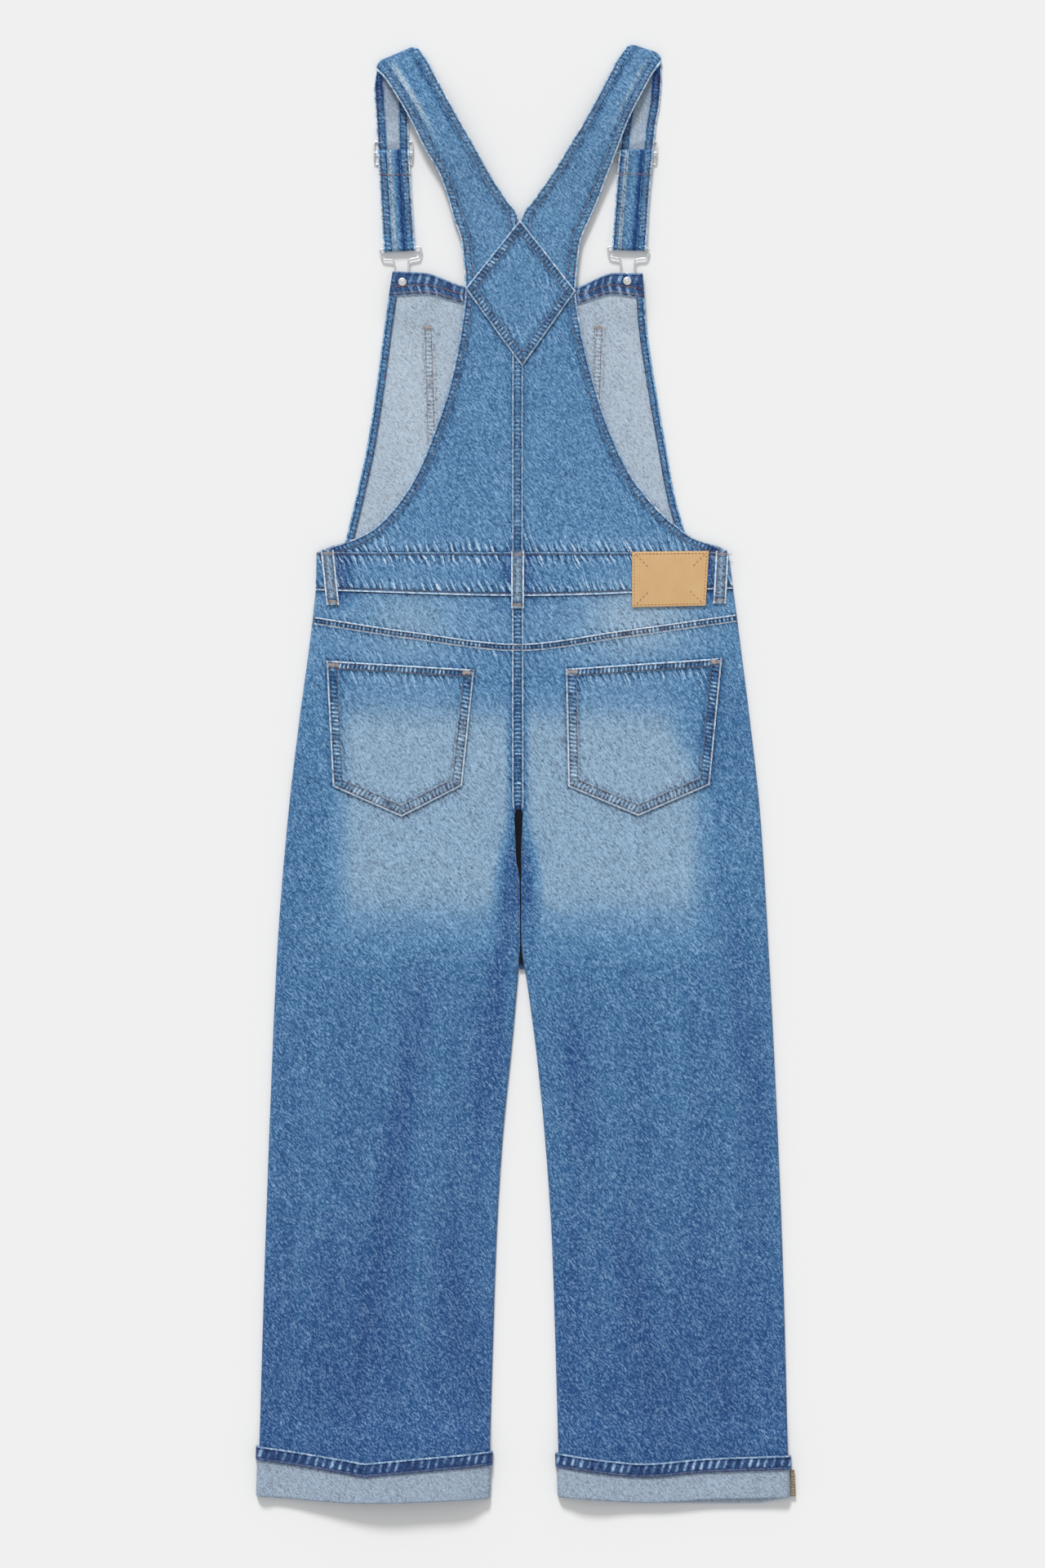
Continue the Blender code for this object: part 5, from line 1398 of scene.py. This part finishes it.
print("stage: thread, by geometry nodes")
thread = {  # mm and degrees
    "tan": {"Pitch": 3.3, "Length": 2.9, "Thickness": 0.78, "Turn": 5.0},
    "rust": {"Pitch": 3.4, "Length": 2.8, "Thickness": 0.85, "Turn": 5.0},
    "tack": {"Pitch": 0.85, "Length": 2.0, "Thickness": 0.7, "Turn": 72.0},
}
threadSeed = 7


def stitchTree():
    # one bead, turned along the row and repeated at its pitch
    work, given, out = newGroup(
        "stitchRows",
        [("Geometry", "NodeSocketGeometry", None), ("Pitch", number, 0.0033), ("Length", number, 0.0027),
         ("Thickness", number, 0.0006), ("Seed", "NodeSocketInt", threadSeed), ("Turn", number, 0.0),
         ("Material", "NodeSocketMaterial", None)],
        [("Geometry", "NodeSocketGeometry")], "GeometryNodeTree",
    )

    def put(kind, inputs=None, **settings):
        return work.put(kind, inputs, **settings).outputs

    curve = put("GeometryNodeMeshToCurve", {"Mesh": given["Geometry"]})["Curve"]
    even = {"Curve": curve, "Length": given["Pitch"]}
    even = put("GeometryNodeResampleCurve", even, mode="LENGTH")["Curve"]
    bead = put("GeometryNodeMeshUVSphere", {"Segments": 6, "Rings": 4, "Radius": 0.5})["Mesh"]
    bead = put("GeometryNodeTransform", {"Geometry": bead, "Rotation": (0.0, pi / 2, 0.0)})["Geometry"]
    tangent = put("GeometryNodeInputTangent")["Tangent"]
    along = put("FunctionNodeAlignRotationToVector", {"Vector": tangent}, axis="X")["Rotation"]
    angles = put("ShaderNodeCombineXYZ", {"Z": given["Turn"]})["Vector"]
    turned = {"Rotation": along, "Rotate By": angles}
    turned = put("FunctionNodeRotateRotation", turned, rotation_space="LOCAL")["Rotation"]
    vary = put("FunctionNodeRandomValue", {2: 0.86, 3: 1.08, "Seed": given["Seed"]}, data_type="FLOAT")[1]
    size = {"X": work.times(given["Length"], vary), "Y": given["Thickness"], "Z": given["Thickness"]}
    size = put("ShaderNodeCombineXYZ", size)["Vector"]
    laid = {"Points": even, "Instance": bead, "Rotation": turned, "Scale": size}
    laid = put("GeometryNodeInstanceOnPoints", laid)["Instances"]
    real = put("GeometryNodeRealizeInstances", {"Geometry": laid})["Geometry"]
    dressed = put("GeometryNodeSetMaterial", {"Geometry": real, "Material": given["Material"]})["Geometry"]
    work.join(dressed, out["Geometry"])
    return work.tree


def socketId(tree, name):
    for item in tree.interface.items_tree:
        if item.item_type == "SOCKET" and item.in_out == "INPUT" and item.name == name:
            return item.identifier
    raise KeyError(name)


def plainMesh(made, name):
    graph = bpy.context.evaluated_depsgraph_get()
    mesh = bpy.data.meshes.new_from_object(made.evaluated_get(graph))
    made.modifiers.clear()
    old = made.data
    made.data = mesh
    mesh.name = name
    bpy.data.meshes.remove(old)
    return made


def makeStitches(kind, tree, surface):
    points, edges = [], []
    for row in stitchRows[kind]:
        first = len(points)
        points += (row * mm).tolist()
        edges += [(i, i + 1) for i in range(first, len(points) - 1)]
    name = kind + "Stitches"
    mesh = bpy.data.meshes.new(name)
    mesh.from_pydata(points, edges, [])
    made = intoScene(name, mesh)
    modifier = made.modifiers.new("stitches", "NODES")
    modifier.node_group = tree
    for word, value in thread[kind].items():
        modifier[socketId(tree, word)] = radians(value) if word == "Turn" else value * mm
    modifier[socketId(tree, "Seed")] = threadSeed
    modifier[socketId(tree, "Material")] = surface
    bpy.context.view_layer.update()
    plainMesh(made, name)
    made.data.shade_smooth()
    keep(made, [])


print("stage: wire fittings")
wire = {"radius": 1.0, "slider": 0.8, "sides": 14, "sliderSide": 3.4, "corner": 2.6, "round": 5.8}
buckleHalf = [
    (15.5, barAway), (18.6, barAway), (20.2, 31.6), (19.4, 28.0), (18.2, 24.0), (16.8, 22.9),
    (9.6, 22.2), (7.4, 21.0), (6.8, 18.5), (6.6, 10.5), (6.2, 5.6),
]


def rounded(points, rounds):
    for _ in range(rounds):
        after = np.roll(points, -1, axis=0)
        points = np.stack([mix(points, after, 0.25), mix(points, after, 0.75)], axis=1).reshape(-1, 3)
    return points


def skin(built, rings, closed):
    # faces between rings of vertices, with flat ends unless they close
    count = len(rings)
    for i in range(count if closed else count - 1):
        here, there = rings[i], rings[(i + 1) % count]
        for k in range(len(here)):
            m = (k + 1) % len(here)
            built.faces.new((here[k], here[m], there[m], there[k]))
    if not closed:
        built.faces.new(rings[0])
        built.faces.new(rings[-1])


def makeTube(built, path, radius, sides, closed):
    count = len(path)
    rings = []
    for i, point in enumerate(path):
        before = path[i - 1] if closed or i > 0 else point
        after = path[(i + 1) % count] if closed or i < count - 1 else point
        ahead = (after - before) / np.linalg.norm(after - before)
        aside = np.cross(ahead, (0.0, 0.0, 1.0))
        aside = aside / np.linalg.norm(aside)
        above = np.cross(aside, ahead)
        turns = [2 * pi * k / sides for k in range(sides)]
        rings.append([
            built.verts.new((point + radius * (cos(a) * aside + sin(a) * above)) * mm) for a in turns
        ])
    skin(built, rings, closed)


def finishMesh(built, name):
    bmesh.ops.recalc_face_normals(built, faces=built.faces)
    mesh = bpy.data.meshes.new(name)
    built.to_mesh(mesh)
    built.free()
    mesh.shade_smooth()
    mesh.set_sharp_from_angle(angle=radians(40.0))
    return intoScene(name, mesh)


def makeBuckle(side):
    atX, atY, tilt = buttons[side]
    turn, start = radians(tilt), radians(35.0)
    turns = start + (2 * pi - 2 * start) * evenly(12)
    roundEnd = [(wire["round"] * sin(a), wire["round"] * cos(a)) for a in turns]
    flat = np.array(buckleHalf + roundEnd[1:-1] + [(-x, y) for x, y in reversed(buckleHalf)])
    path = rounded(np.column_stack([flat, np.zeros(len(flat))]), 2)
    x, y = path[:, 0], path[:, 1]
    height = mix(2.8, strapForm["bend"], ease(8.5, barAway, y))
    path = np.column_stack([atX + x * cos(turn) - y * sin(turn), atY + x * sin(turn) + y * cos(turn), height])
    built = bmesh.new()
    makeTube(built, path, wire["radius"], wire["sides"], True)
    keep(finishMesh(built, side + "Buckle"), [f"buckle_{side}"])


def makeSlider(side):
    outerX, _, innerX, _ = straps[side]["front"][4]
    lowX, highX = min(outerX, innerX) - wire["sliderSide"], max(outerX, innerX) + wire["sliderSide"]
    top, middle, bottom = sliderRows
    floor, corner = wire["slider"] + 0.1, wire["corner"]
    corners = np.array([
        (lowX, top, floor), (lowX + corner, top, floor), (highX - corner, top, floor), (highX, top, floor),
        (highX, middle, sliderMiddle), (highX, bottom, floor), (highX - corner, bottom, floor),
        (lowX + corner, bottom, floor), (lowX, bottom, floor), (lowX, middle, sliderMiddle),
    ])
    built = bmesh.new()
    makeTube(built, rounded(corners, 2), wire["slider"], wire["sides"], True)
    bar = np.array([(lowX, middle, sliderMiddle - 0.1), (highX, middle, sliderMiddle - 0.1)])
    makeTube(built, bar, wire["slider"] * 0.97, wire["sides"], False)
    keep(finishMesh(built, side + "Slider"), [f"slider_{side}"])


# the back of a bib button: radius and height of each ring
tackProfile = [
    (4.0, 0.0), (4.1, 0.25), (3.95, 0.6), (3.4, 0.95), (2.7, 1.05), (1.9, 0.85), (1.3, 0.95), (0.5, 1.2),
]
tackSides = 40


def makeTack(side):
    atX, atY, _ = buttons[side]
    rest = cloth["buttonUnder"] + cloth["thick"] + cloth["hemThick"] + 2 * cloth["gap"]
    turns = 2 * pi * np.arange(tackSides) / tackSides
    built = bmesh.new()
    rings = []
    for radius, z in tackProfile:
        rings.append([
            built.verts.new(((atX + radius * cos(a)) * mm, (atY + radius * sin(a)) * mm, (rest + z) * mm))
            for a in turns
        ])
    skin(built, rings, False)
    keep(finishMesh(built, side + "Tack"), [f"tack_{side}"])


seamEnd = {"top": -677.4, "low": -703.0, "wide": 4.8, "thick": 2.4}


def makeSeamEnd():
    # the overlocked edge that stands out of the right cuff, wavy from its thread
    start = float(backRight(-690.0)) + cloth["cuffOut"] + cloth["gap"]
    v, u = np.meshgrid(evenly(60), evenly(8), indexing="ij")
    y = mix(seamEnd["top"], seamEnd["low"], v)
    x = start + seamEnd["wide"] * mix(0.75, 1.0, v) * u
    outer, inner = layerGrid(x, y, restHeight + 0.0 * x, 0.0, seamEnd["thick"])
    outer[..., 2] += 0.3 * np.sin(y * 2.4 + u * 1.5) - 0.6 * np.abs(2 * u - 1) ** 4
    keep(closedWall("rightSeamEnd", outer, inner), ["seam_end_right"])


for side in ("left", "right"):
    makeBuckle(side)
    makeSlider(side)
    makeTack(side)
makeSeamEnd()


print("stage: materials")
# colours by tone, which runs from dark and unworn to bare and pale; below 0 it runs to near black, the
# painted shadow in the crotch slit
denimStops = [
    (-0.25, (3, 6, 16)), (0.0, (26, 68, 124)), (0.18, (37, 84, 138)), (0.3, (56, 107, 154)),
    (0.48, (77, 126, 170)), (0.66, (100, 143, 180)), (0.85, (139, 168, 193)), (1.0, (166, 188, 206)),
    (1.25, (214, 222, 229)),
]
reverseStops = [
    (-0.25, (70, 86, 112)), (0.0, (100, 118, 142)), (0.42, (150, 165, 183)), (0.62, (176, 190, 204)),
    (1.0, (214, 222, 230)),
]
darkStops = [
    (-0.25, (16, 30, 64)), (0.0, (28, 56, 104)), (0.35, (64, 100, 148)), (0.6, (98, 134, 174)),
    (1.0, (168, 186, 204)), (1.25, (210, 220, 228)),
]
leatherStops = [(0.0, (146, 100, 58)), (0.4, (199, 160, 110)), (0.6, (211, 173, 121)), (1.0, (228, 196, 148))]
tints = [(190, 226, 255), (222, 226, 230), (3, 10, 62)]  # pale, bare and dark, for fine detail
# the weave: its slant in degrees, a yarn's length and width in mm, then shares of each layer
weave = {
    "slant": 52.0, "yarn": (1.9, 0.85), "yarns": 0.3, "dashes": 0.18, "slubs": 0.16, "upright": 0.12,
    "mottle": 0.1, "offset": -0.11,
}
# what a stitched band reads from its mesh, with the values that leave a cloth plain; Deep is the strength of
# its painted shadow line
bandInputs = {"Away": 20.0, "Along": 0.0, "Width": 8.0, "Pucker": 0.0, "Worn": 1.0, "Deep": 0.3, "Hairs": 0.0}
shaderWords = {
    "metallic": "Metallic", "specular": "Specular IOR Level", "sheen": "Sheen Weight",
    "sheenRoughness": "Sheen Roughness",
}


def makeGrainGroup():
    # the washed weave: fine slanted dashes, short yarns in cells, pale slubs and soft mottling
    outputs = [("Grain", number), ("Height", number)]
    work, given, out = newGroup("washedGrain", [("Strength", number, 1.0)], outputs)
    p = work.place()
    long, wide = weave["yarn"]
    cells = work.split(work.turned(p, weave["slant"], (1 / long, 1 / wide, 1.0)))
    row = work.math("FLOOR", cells["Y"])
    shift = work.put("ShaderNodeTexWhiteNoise", {"W": row}, noise_dimensions="1D").outputs["Value"]
    cell = work.vector(work.math("FLOOR", work.fit(shift, 31.0, cells["X"])), row)
    yarns = work.put("ShaderNodeTexWhiteNoise", {"Vector": cell}, noise_dimensions="2D").outputs["Value"]
    dashes = work.noise(work.turned(p, 49.0, (0.3, 1.4, 1.0)), 1.0, 0.0)
    slubs = work.noise(work.turned(p, weave["slant"], (0.1, 0.8, 1.0)), 1.0, 1.0)
    slubs = work.smooth(slubs, 0.38, 0.66, -0.4, 0.8)
    upright = work.noise(work.turned(p, 4.0, (0.3, 0.03, 1.0)))
    mottle = work.noise(p, 0.04, 3.0, 0.55)
    total = work.smooth(dashes, 0.3, 0.7, -weave["dashes"], weave["dashes"])
    total = work.sums(total, work.fit(yarns, 2 * weave["yarns"], -weave["yarns"]))
    for layer, share in ((slubs, weave["slubs"]), (upright, weave["upright"]), (mottle, weave["mottle"])):
        total = work.fit(layer, share, total)
    work.join(work.times(work.sums(total, weave["offset"]), given["Strength"]), out["Grain"])
    work.join(work.fit(dashes, 0.08, work.times(slubs, 0.04)), out["Height"])
    return work.tree


def makeSeamGroup():
    # puckers in a stitched band, its worn edge, the pale creases that leave it and painted shade in its
    # grooves and beside it
    inputs = [(name, number, value) for name, value in bandInputs.items()]
    work, given, out = newGroup("stitchedBand", inputs, [("Change", number), ("Height", number)])
    away, along, width = given["Away"], given["Along"], given["Width"]
    share = work.math("DIVIDE", away, width)
    inside = work.smooth(share, 0.97, 1.08, 1.0, 0.0)
    outside = work.math("SUBTRACT", 1.0, inside)
    past = work.math("MAXIMUM", work.math("SUBTRACT", away, width), 0.0)

    def line(value, place, half, strength):
        distance = work.math("ABSOLUTE", work.sums(value, -place))
        return work.smooth(distance, half * 0.3, half, strength, 0.0)

    def fall(rate, strength):
        return work.times(work.math("POWER", 2.718, work.times(past, -rate)), work.times(outside, strength))

    # the ladder of puckers, in patches, between the edge and the inner stitch row
    jitter = work.noise(work.vector(work.times(along, 0.11), 0.0, 3.0), 1.0, 1.0, 0.6)
    slanted = work.sums(along, work.times(away, 0.16), work.times(jitter, 3.0))
    wave = work.smooth(work.math("SINE", work.times(slanted, 1.55)), -0.3, 0.95, -0.6, 0.8)
    patchy = work.noise(work.vector(work.times(along, 0.08), work.times(away, 0.05), 7.0), 1.0, 2.0, 0.6)
    ladder = work.times(wave, work.smooth(patchy, 0.36, 0.6, 0.4, 1.0))
    ladder = work.sums(ladder, work.smooth(patchy, 0.34, 0.66, -0.5, 0.3))
    between = work.times(work.smooth(away, 1.1, 2.0), work.smooth(share, 0.74, 0.9, 1.0, 0.0))
    ladder = work.times(work.times(ladder, inside), work.times(between, given["Pucker"]))
    # the pale edge, painted shade in the grooves beside the stitches and painted shade beside the band
    broken = work.noise(work.vector(work.times(along, 0.16), 0.0, 9.0), 1.0, 3.0, 0.6)
    solid = work.times(work.smooth(broken, 0.36, 0.6, 0.5, 1.1), given["Worn"])
    worn = work.times(work.smooth(away, 0.8, 2.0, 1.0, 0.0), solid)
    groove = work.sums(line(away, 2.4, 1.0, -0.36), work.times(inside, line(share, 0.84, 0.1, -0.3)))
    shade = work.sums(fall(0.3, -0.22), work.times(fall(0.9, -1.0), given["Deep"]))

    where = work.split(work.place())
    wander = work.times(work.noise(work.place(), 0.06, 1.0), 8.0)
    slope = work.sums(wander, work.fit(where["Y"], 0.42, where["X"]))

    def creases(frequency, half, least, reach, strength, seed):
        # thin pale lines at uneven places, each with its own length
        given = {"W": work.fit(slope, frequency, seed), "Scale": 1.0}
        cell = work.put("ShaderNodeTexVoronoi", given, voronoi_dimensions="1D").outputs["Distance"]
        thin = work.smooth(cell, half * frequency * 0.4, half * frequency, 1.0, 0.0)
        size = work.noise(work.vector(work.times(slope, frequency * 0.8), 0.0, seed), 1.0, 1.0)
        size = work.smooth(size, 0.36, 0.66, least, reach)
        long = work.smooth(work.math("DIVIDE", past, size), 0.3, 1.0, 1.0, 0.0)
        return work.times(work.times(thin, long), work.times(outside, strength))

    comb = work.smooth(work.math("SINE", work.times(slope, 0.9)), -0.2, 0.9, -0.42, 0.38)
    comb = work.times(work.times(comb, work.smooth(past, 3.0, 15.0, 1.0, 0.0)), outside)
    far, near = creases(0.2, 0.9, 4.0, 38.0, 0.7, 5.0), creases(0.36, 0.8, 4.0, 24.0, 0.6, 8.0)
    hairs = work.times(work.sums(far, near, comb), given["Hairs"])
    work.join(work.sums(ladder, worn, groove, shade, hairs, work.times(inside, -0.06)), out["Change"])
    height = work.fit(ladder, 0.6, work.times(hairs, 0.5))
    work.join(work.fit(groove, 0.5, height), out["Height"])
    return work.tree


def makeTintGroup():
    # fine detail lightens or darkens a cloth colour along its own blue
    pale, bare, dark = [(*linear(colour), 1.0) for colour in tints]
    inputs = [("Cloth", colourKind, (0.5, 0.5, 0.5, 1.0)), ("Detail", number, 0.0)]
    work, given, out = newGroup("clothTint", inputs, [("Color", colourKind)])

    def share(factor, most):
        return work.math("MINIMUM", work.math("MAXIMUM", work.times(given["Detail"], factor), 0.0), most)

    colour = work.blend(share(0.83, 0.8), given["Cloth"], pale)
    colour = work.blend(work.smooth(given["Detail"], 0.55, 1.05, 0.0, 0.85), colour, bare)
    work.join(work.blend(share(-1.33, 0.86), colour, dark), out["Color"])
    return work.tree


grainGroup, seamGroup, tintGroup = makeGrainGroup(), makeSeamGroup(), makeTintGroup()


def useGroup(work, tree, **inputs):
    return work.put("ShaderNodeGroup", inputs, node_tree=tree).outputs


def newMaterial(name, roughness, **values):
    made = bpy.data.materials.new(name)
    made.use_nodes = True
    inputs = made.node_tree.nodes["Principled BSDF"].inputs
    inputs["Roughness"].default_value = roughness
    for word, value in values.items():
        inputs[shaderWords[word]].default_value = value
    return made, Tree(made.node_tree), inputs


def bump(work, inputs, height, strength):
    given = {"Strength": strength, "Distance": mm, "Height": height}
    work.join(work.put("ShaderNodeBump", given).outputs["Normal"], inputs["Normal"])


def useBand(work):
    return useGroup(work, seamGroup, **{name: work.fact("seam" + name) for name in bandInputs})


def denimMaterial(name, stops, grainShare, wear):
    made, work, inputs = newMaterial(name, 0.86, specular=0.18, sheen=0.08, sheenRoughness=0.6)
    grain, seam = useGroup(work, grainGroup, Strength=grainShare), useBand(work)
    tone = work.fact("tone")
    weft = work.times(grain["Grain"], work.smooth(tone, 0.08, 0.4, 0.76, 1.0))
    # detail fades out below tone 0, so the painted shadow in the crotch slit stays plain
    detail = work.times(work.fit(seam["Change"], wear, weft), work.smooth(tone, -0.2, 0.0))
    colour = useGroup(work, tintGroup, Cloth=work.ramp(tone, stops), Detail=detail)["Color"]
    back = work.sums(0.22, work.times(grain["Grain"], 0.4), work.times(tone, 0.6))
    back = work.ramp(back, reverseStops)
    work.join(work.blend(work.fact("reverseSide"), colour, back), inputs["Base Color"])
    bump(work, inputs, work.sums(grain["Height"], seam["Height"]), 0.9)
    return made


def reverseMaterial(name):
    # the wrong side of the cloth, where the white weft shows in a fine twill
    made, work, inputs = newMaterial(name, 0.9, specular=0.15)
    grain, seam = useGroup(work, grainGroup, Strength=0.7), useBand(work)
    twill = work.noise(work.turned(work.place(), 34.0, (0.3, 1.5, 1.0)), 1.0, 1.0)
    tone = work.sums(work.fact("tone"), work.fit(twill, 0.6, -0.3))
    detail = work.fit(seam["Change"], 0.6, grain["Grain"])
    pale = useGroup(work, tintGroup, Cloth=work.ramp(tone, reverseStops), Detail=detail)["Color"]
    face = work.ramp(work.sums(grain["Grain"], 0.42), denimStops)
    work.join(work.blend(work.fact("reverseSide"), pale, face), inputs["Base Color"])
    bump(work, inputs, work.fit(twill, 0.1, grain["Height"]), 0.7)
    return made


def plainCloth(name, upStops, upTone, downStops, downTone):
    # for the layer that lies on the floor: its upper and lower side differ
    made, work, inputs = newMaterial(name, 0.88, specular=0.15)
    grain = useGroup(work, grainGroup, Strength=0.8)
    up = work.smooth(work.split(work.put("ShaderNodeNewGeometry").outputs["Normal"])["Z"], 0.2, 0.4)
    above = work.ramp(work.fit(grain["Grain"], 0.5, upTone), upStops)
    below = work.ramp(work.sums(grain["Grain"], downTone), downStops)
    work.join(work.blend(up, below, above), inputs["Base Color"])
    bump(work, inputs, grain["Height"], 0.7)
    return made


def leatherMaterial(name, stops):
    made, work, inputs = newMaterial(name, 0.62)
    p = work.place()
    given = {"Vector": p, "Scale": 0.75}
    cells = work.put("ShaderNodeTexVoronoi", given, feature="DISTANCE_TO_EDGE").outputs["Distance"]
    pores = work.smooth(cells, 0.0, 0.16)
    cloud, fine = work.noise(p, 0.06, 3.0, 0.55), work.noise(p, 1.1, 2.0, 0.6)
    away = work.fact("edgeAway")
    edge = work.sums(work.smooth(away, 0.3, 1.0, -0.3, 0.0), work.smooth(away, 1.0, 5.0, 0.14, 0.0))
    tone = work.sums(work.fit(cloud, 0.3, 0.35), work.times(fine, 0.12), edge)
    work.join(work.ramp(tone, stops), inputs["Base Color"])
    bump(work, inputs, work.fit(pores, 0.07, work.times(fine, 0.06)), 0.5)
    return made


def threadMaterial(name, dark, pale):
    made, work, inputs = newMaterial(name, 0.7)
    p = work.place()
    tone = work.smooth(work.noise(p, 0.35, 2.0, 0.6), 0.3, 0.7)
    twist = work.put("ShaderNodeTexWave", {"Vector": p, "Scale": 0.9}, wave_type="BANDS").outputs["Fac"]
    work.join(work.ramp(tone, [(0.0, dark), (1.0, pale)]), inputs["Base Color"])
    bump(work, inputs, twist, 0.2)
    return made


def metalMaterial(name, dark, pale):
    made, work, inputs = newMaterial(name, 0.3, metallic=1.0)
    marks = work.noise(work.place(), 0.5, 3.0, 0.6)
    work.join(work.ramp(marks, [(0.3, dark), (0.7, pale)]), inputs["Base Color"])
    work.join(work.smooth(marks, 0.3, 0.7, 0.36, 0.5), inputs["Roughness"])
    return made


denim = denimMaterial("washedDenim", denimStops, 1.0, 1.0)
darkDenim = denimMaterial("darkDenim", darkStops, 0.8, 0.8)
reverseDenim = reverseMaterial("denimReverse")
frontCloth = plainCloth("frontDenim", reverseStops, 0.5, denimStops, 0.4)
leather = leatherMaterial("tanLeather", leatherStops)
threads = {
    "tan": threadMaterial("tanThread", (96, 74, 76), (156, 126, 112)),
    "rust": threadMaterial("rustThread", (150, 88, 54), (194, 132, 88)),
    "tack": threadMaterial("tackThread", (150, 138, 138), (206, 196, 190)),
}
overlock = threadMaterial("overlockThread", (112, 98, 84), (158, 140, 118))
metal = metalMaterial("brushedNickel", (214, 215, 217), (244, 244, 243))

surfaces = {
    "frontBib": reverseDenim, "leftBackCuff": reverseDenim, "rightBackCuff": reverseDenim,
    "bibTopHem": darkDenim, "leftCuffHem": darkDenim, "rightCuffHem": darkDenim, "leatherPatch": leather,
    "rightSeamEnd": overlock,
}
for name, piece in pieces.items():
    isMetal = name.endswith(("Buckle", "Slider", "Tack"))
    piece.data.materials.append(metal if isMetal else surfaces.get(name, denim))
tree = stitchTree()
for kind, surface in threads.items():
    makeStitches(kind, tree, surface)

carried = {"waistband_front": frontCloth, "bib_pocket": frontCloth}
for side in ("left", "right"):
    for part in ("front_leg", "cuff_front", "hem_front"):
        carried[f"{part}_{side}"] = frontCloth
    carried["button_" + side] = metal
for name, surface in carried.items():
    node = bpy.data.objects[name]
    if not node.material_slots:
        node.data.materials.append(surface)
    for slot in node.material_slots:
        slot.material = surface


print("stage: floor, light and camera")
studio = {
    "floor": (240, 240, 240), "cameraHeight": 6.35, "lens": 150.0, "centre": (-0.0030, -0.0111),
    # the key comes from above the shoulders; its share and the ambient light add up to 1 on the floor
    "keyShare": 0.4, "keyHeight": 34.0, "keyTurn": 10.0, "keySoftness": 13.0, "ambient": 0.6,
}
half, floorZ = 6, -0.0004
floorMesh = bpy.data.meshes.new("floor")
floorCorners = [(-half, -half, floorZ), (half, -half, floorZ), (half, half, floorZ), (-half, half, floorZ)]
floorMesh.from_pydata(floorCorners, [], [(0, 1, 2, 3)])
floor = intoScene("floor", floorMesh)
floorSurface, _, floorInputs = newMaterial("paleFloor", 0.95, specular=0.0)
floorInputs["Base Color"].default_value = (*linear(studio["floor"]), 1.0)
floorMesh.materials.append(floorSurface)

world = bpy.data.worlds.new("studioLight")
bpy.context.scene.world = world
world.use_nodes = True
sky = world.node_tree.nodes["Background"]
sky.inputs["Color"].default_value = (1.0, 1.0, 1.0, 1.0)
sky.inputs["Strength"].default_value = studio["ambient"]

sunData = bpy.data.lights.new("softKey", "SUN")
sunData.energy = studio["keyShare"] * pi / sin(radians(studio["keyHeight"]))
sunData.angle = radians(studio["keySoftness"])
sun = intoScene("softKey", sunData)
sun.rotation_euler = (radians(studio["keyHeight"] - 90.0), 0.0, radians(studio["keyTurn"]))

cameraData = bpy.data.cameras.new("above")
cameraData.lens = studio["lens"]
cameraData.sensor_fit = "VERTICAL"
cameraData.sensor_height = 36.0
camera = intoScene("above", cameraData)
camera.location = (*studio["centre"], studio["cameraHeight"])
bpy.context.scene.camera = camera
bpy.context.scene.view_settings.view_transform = "Standard"

print("stage: done")
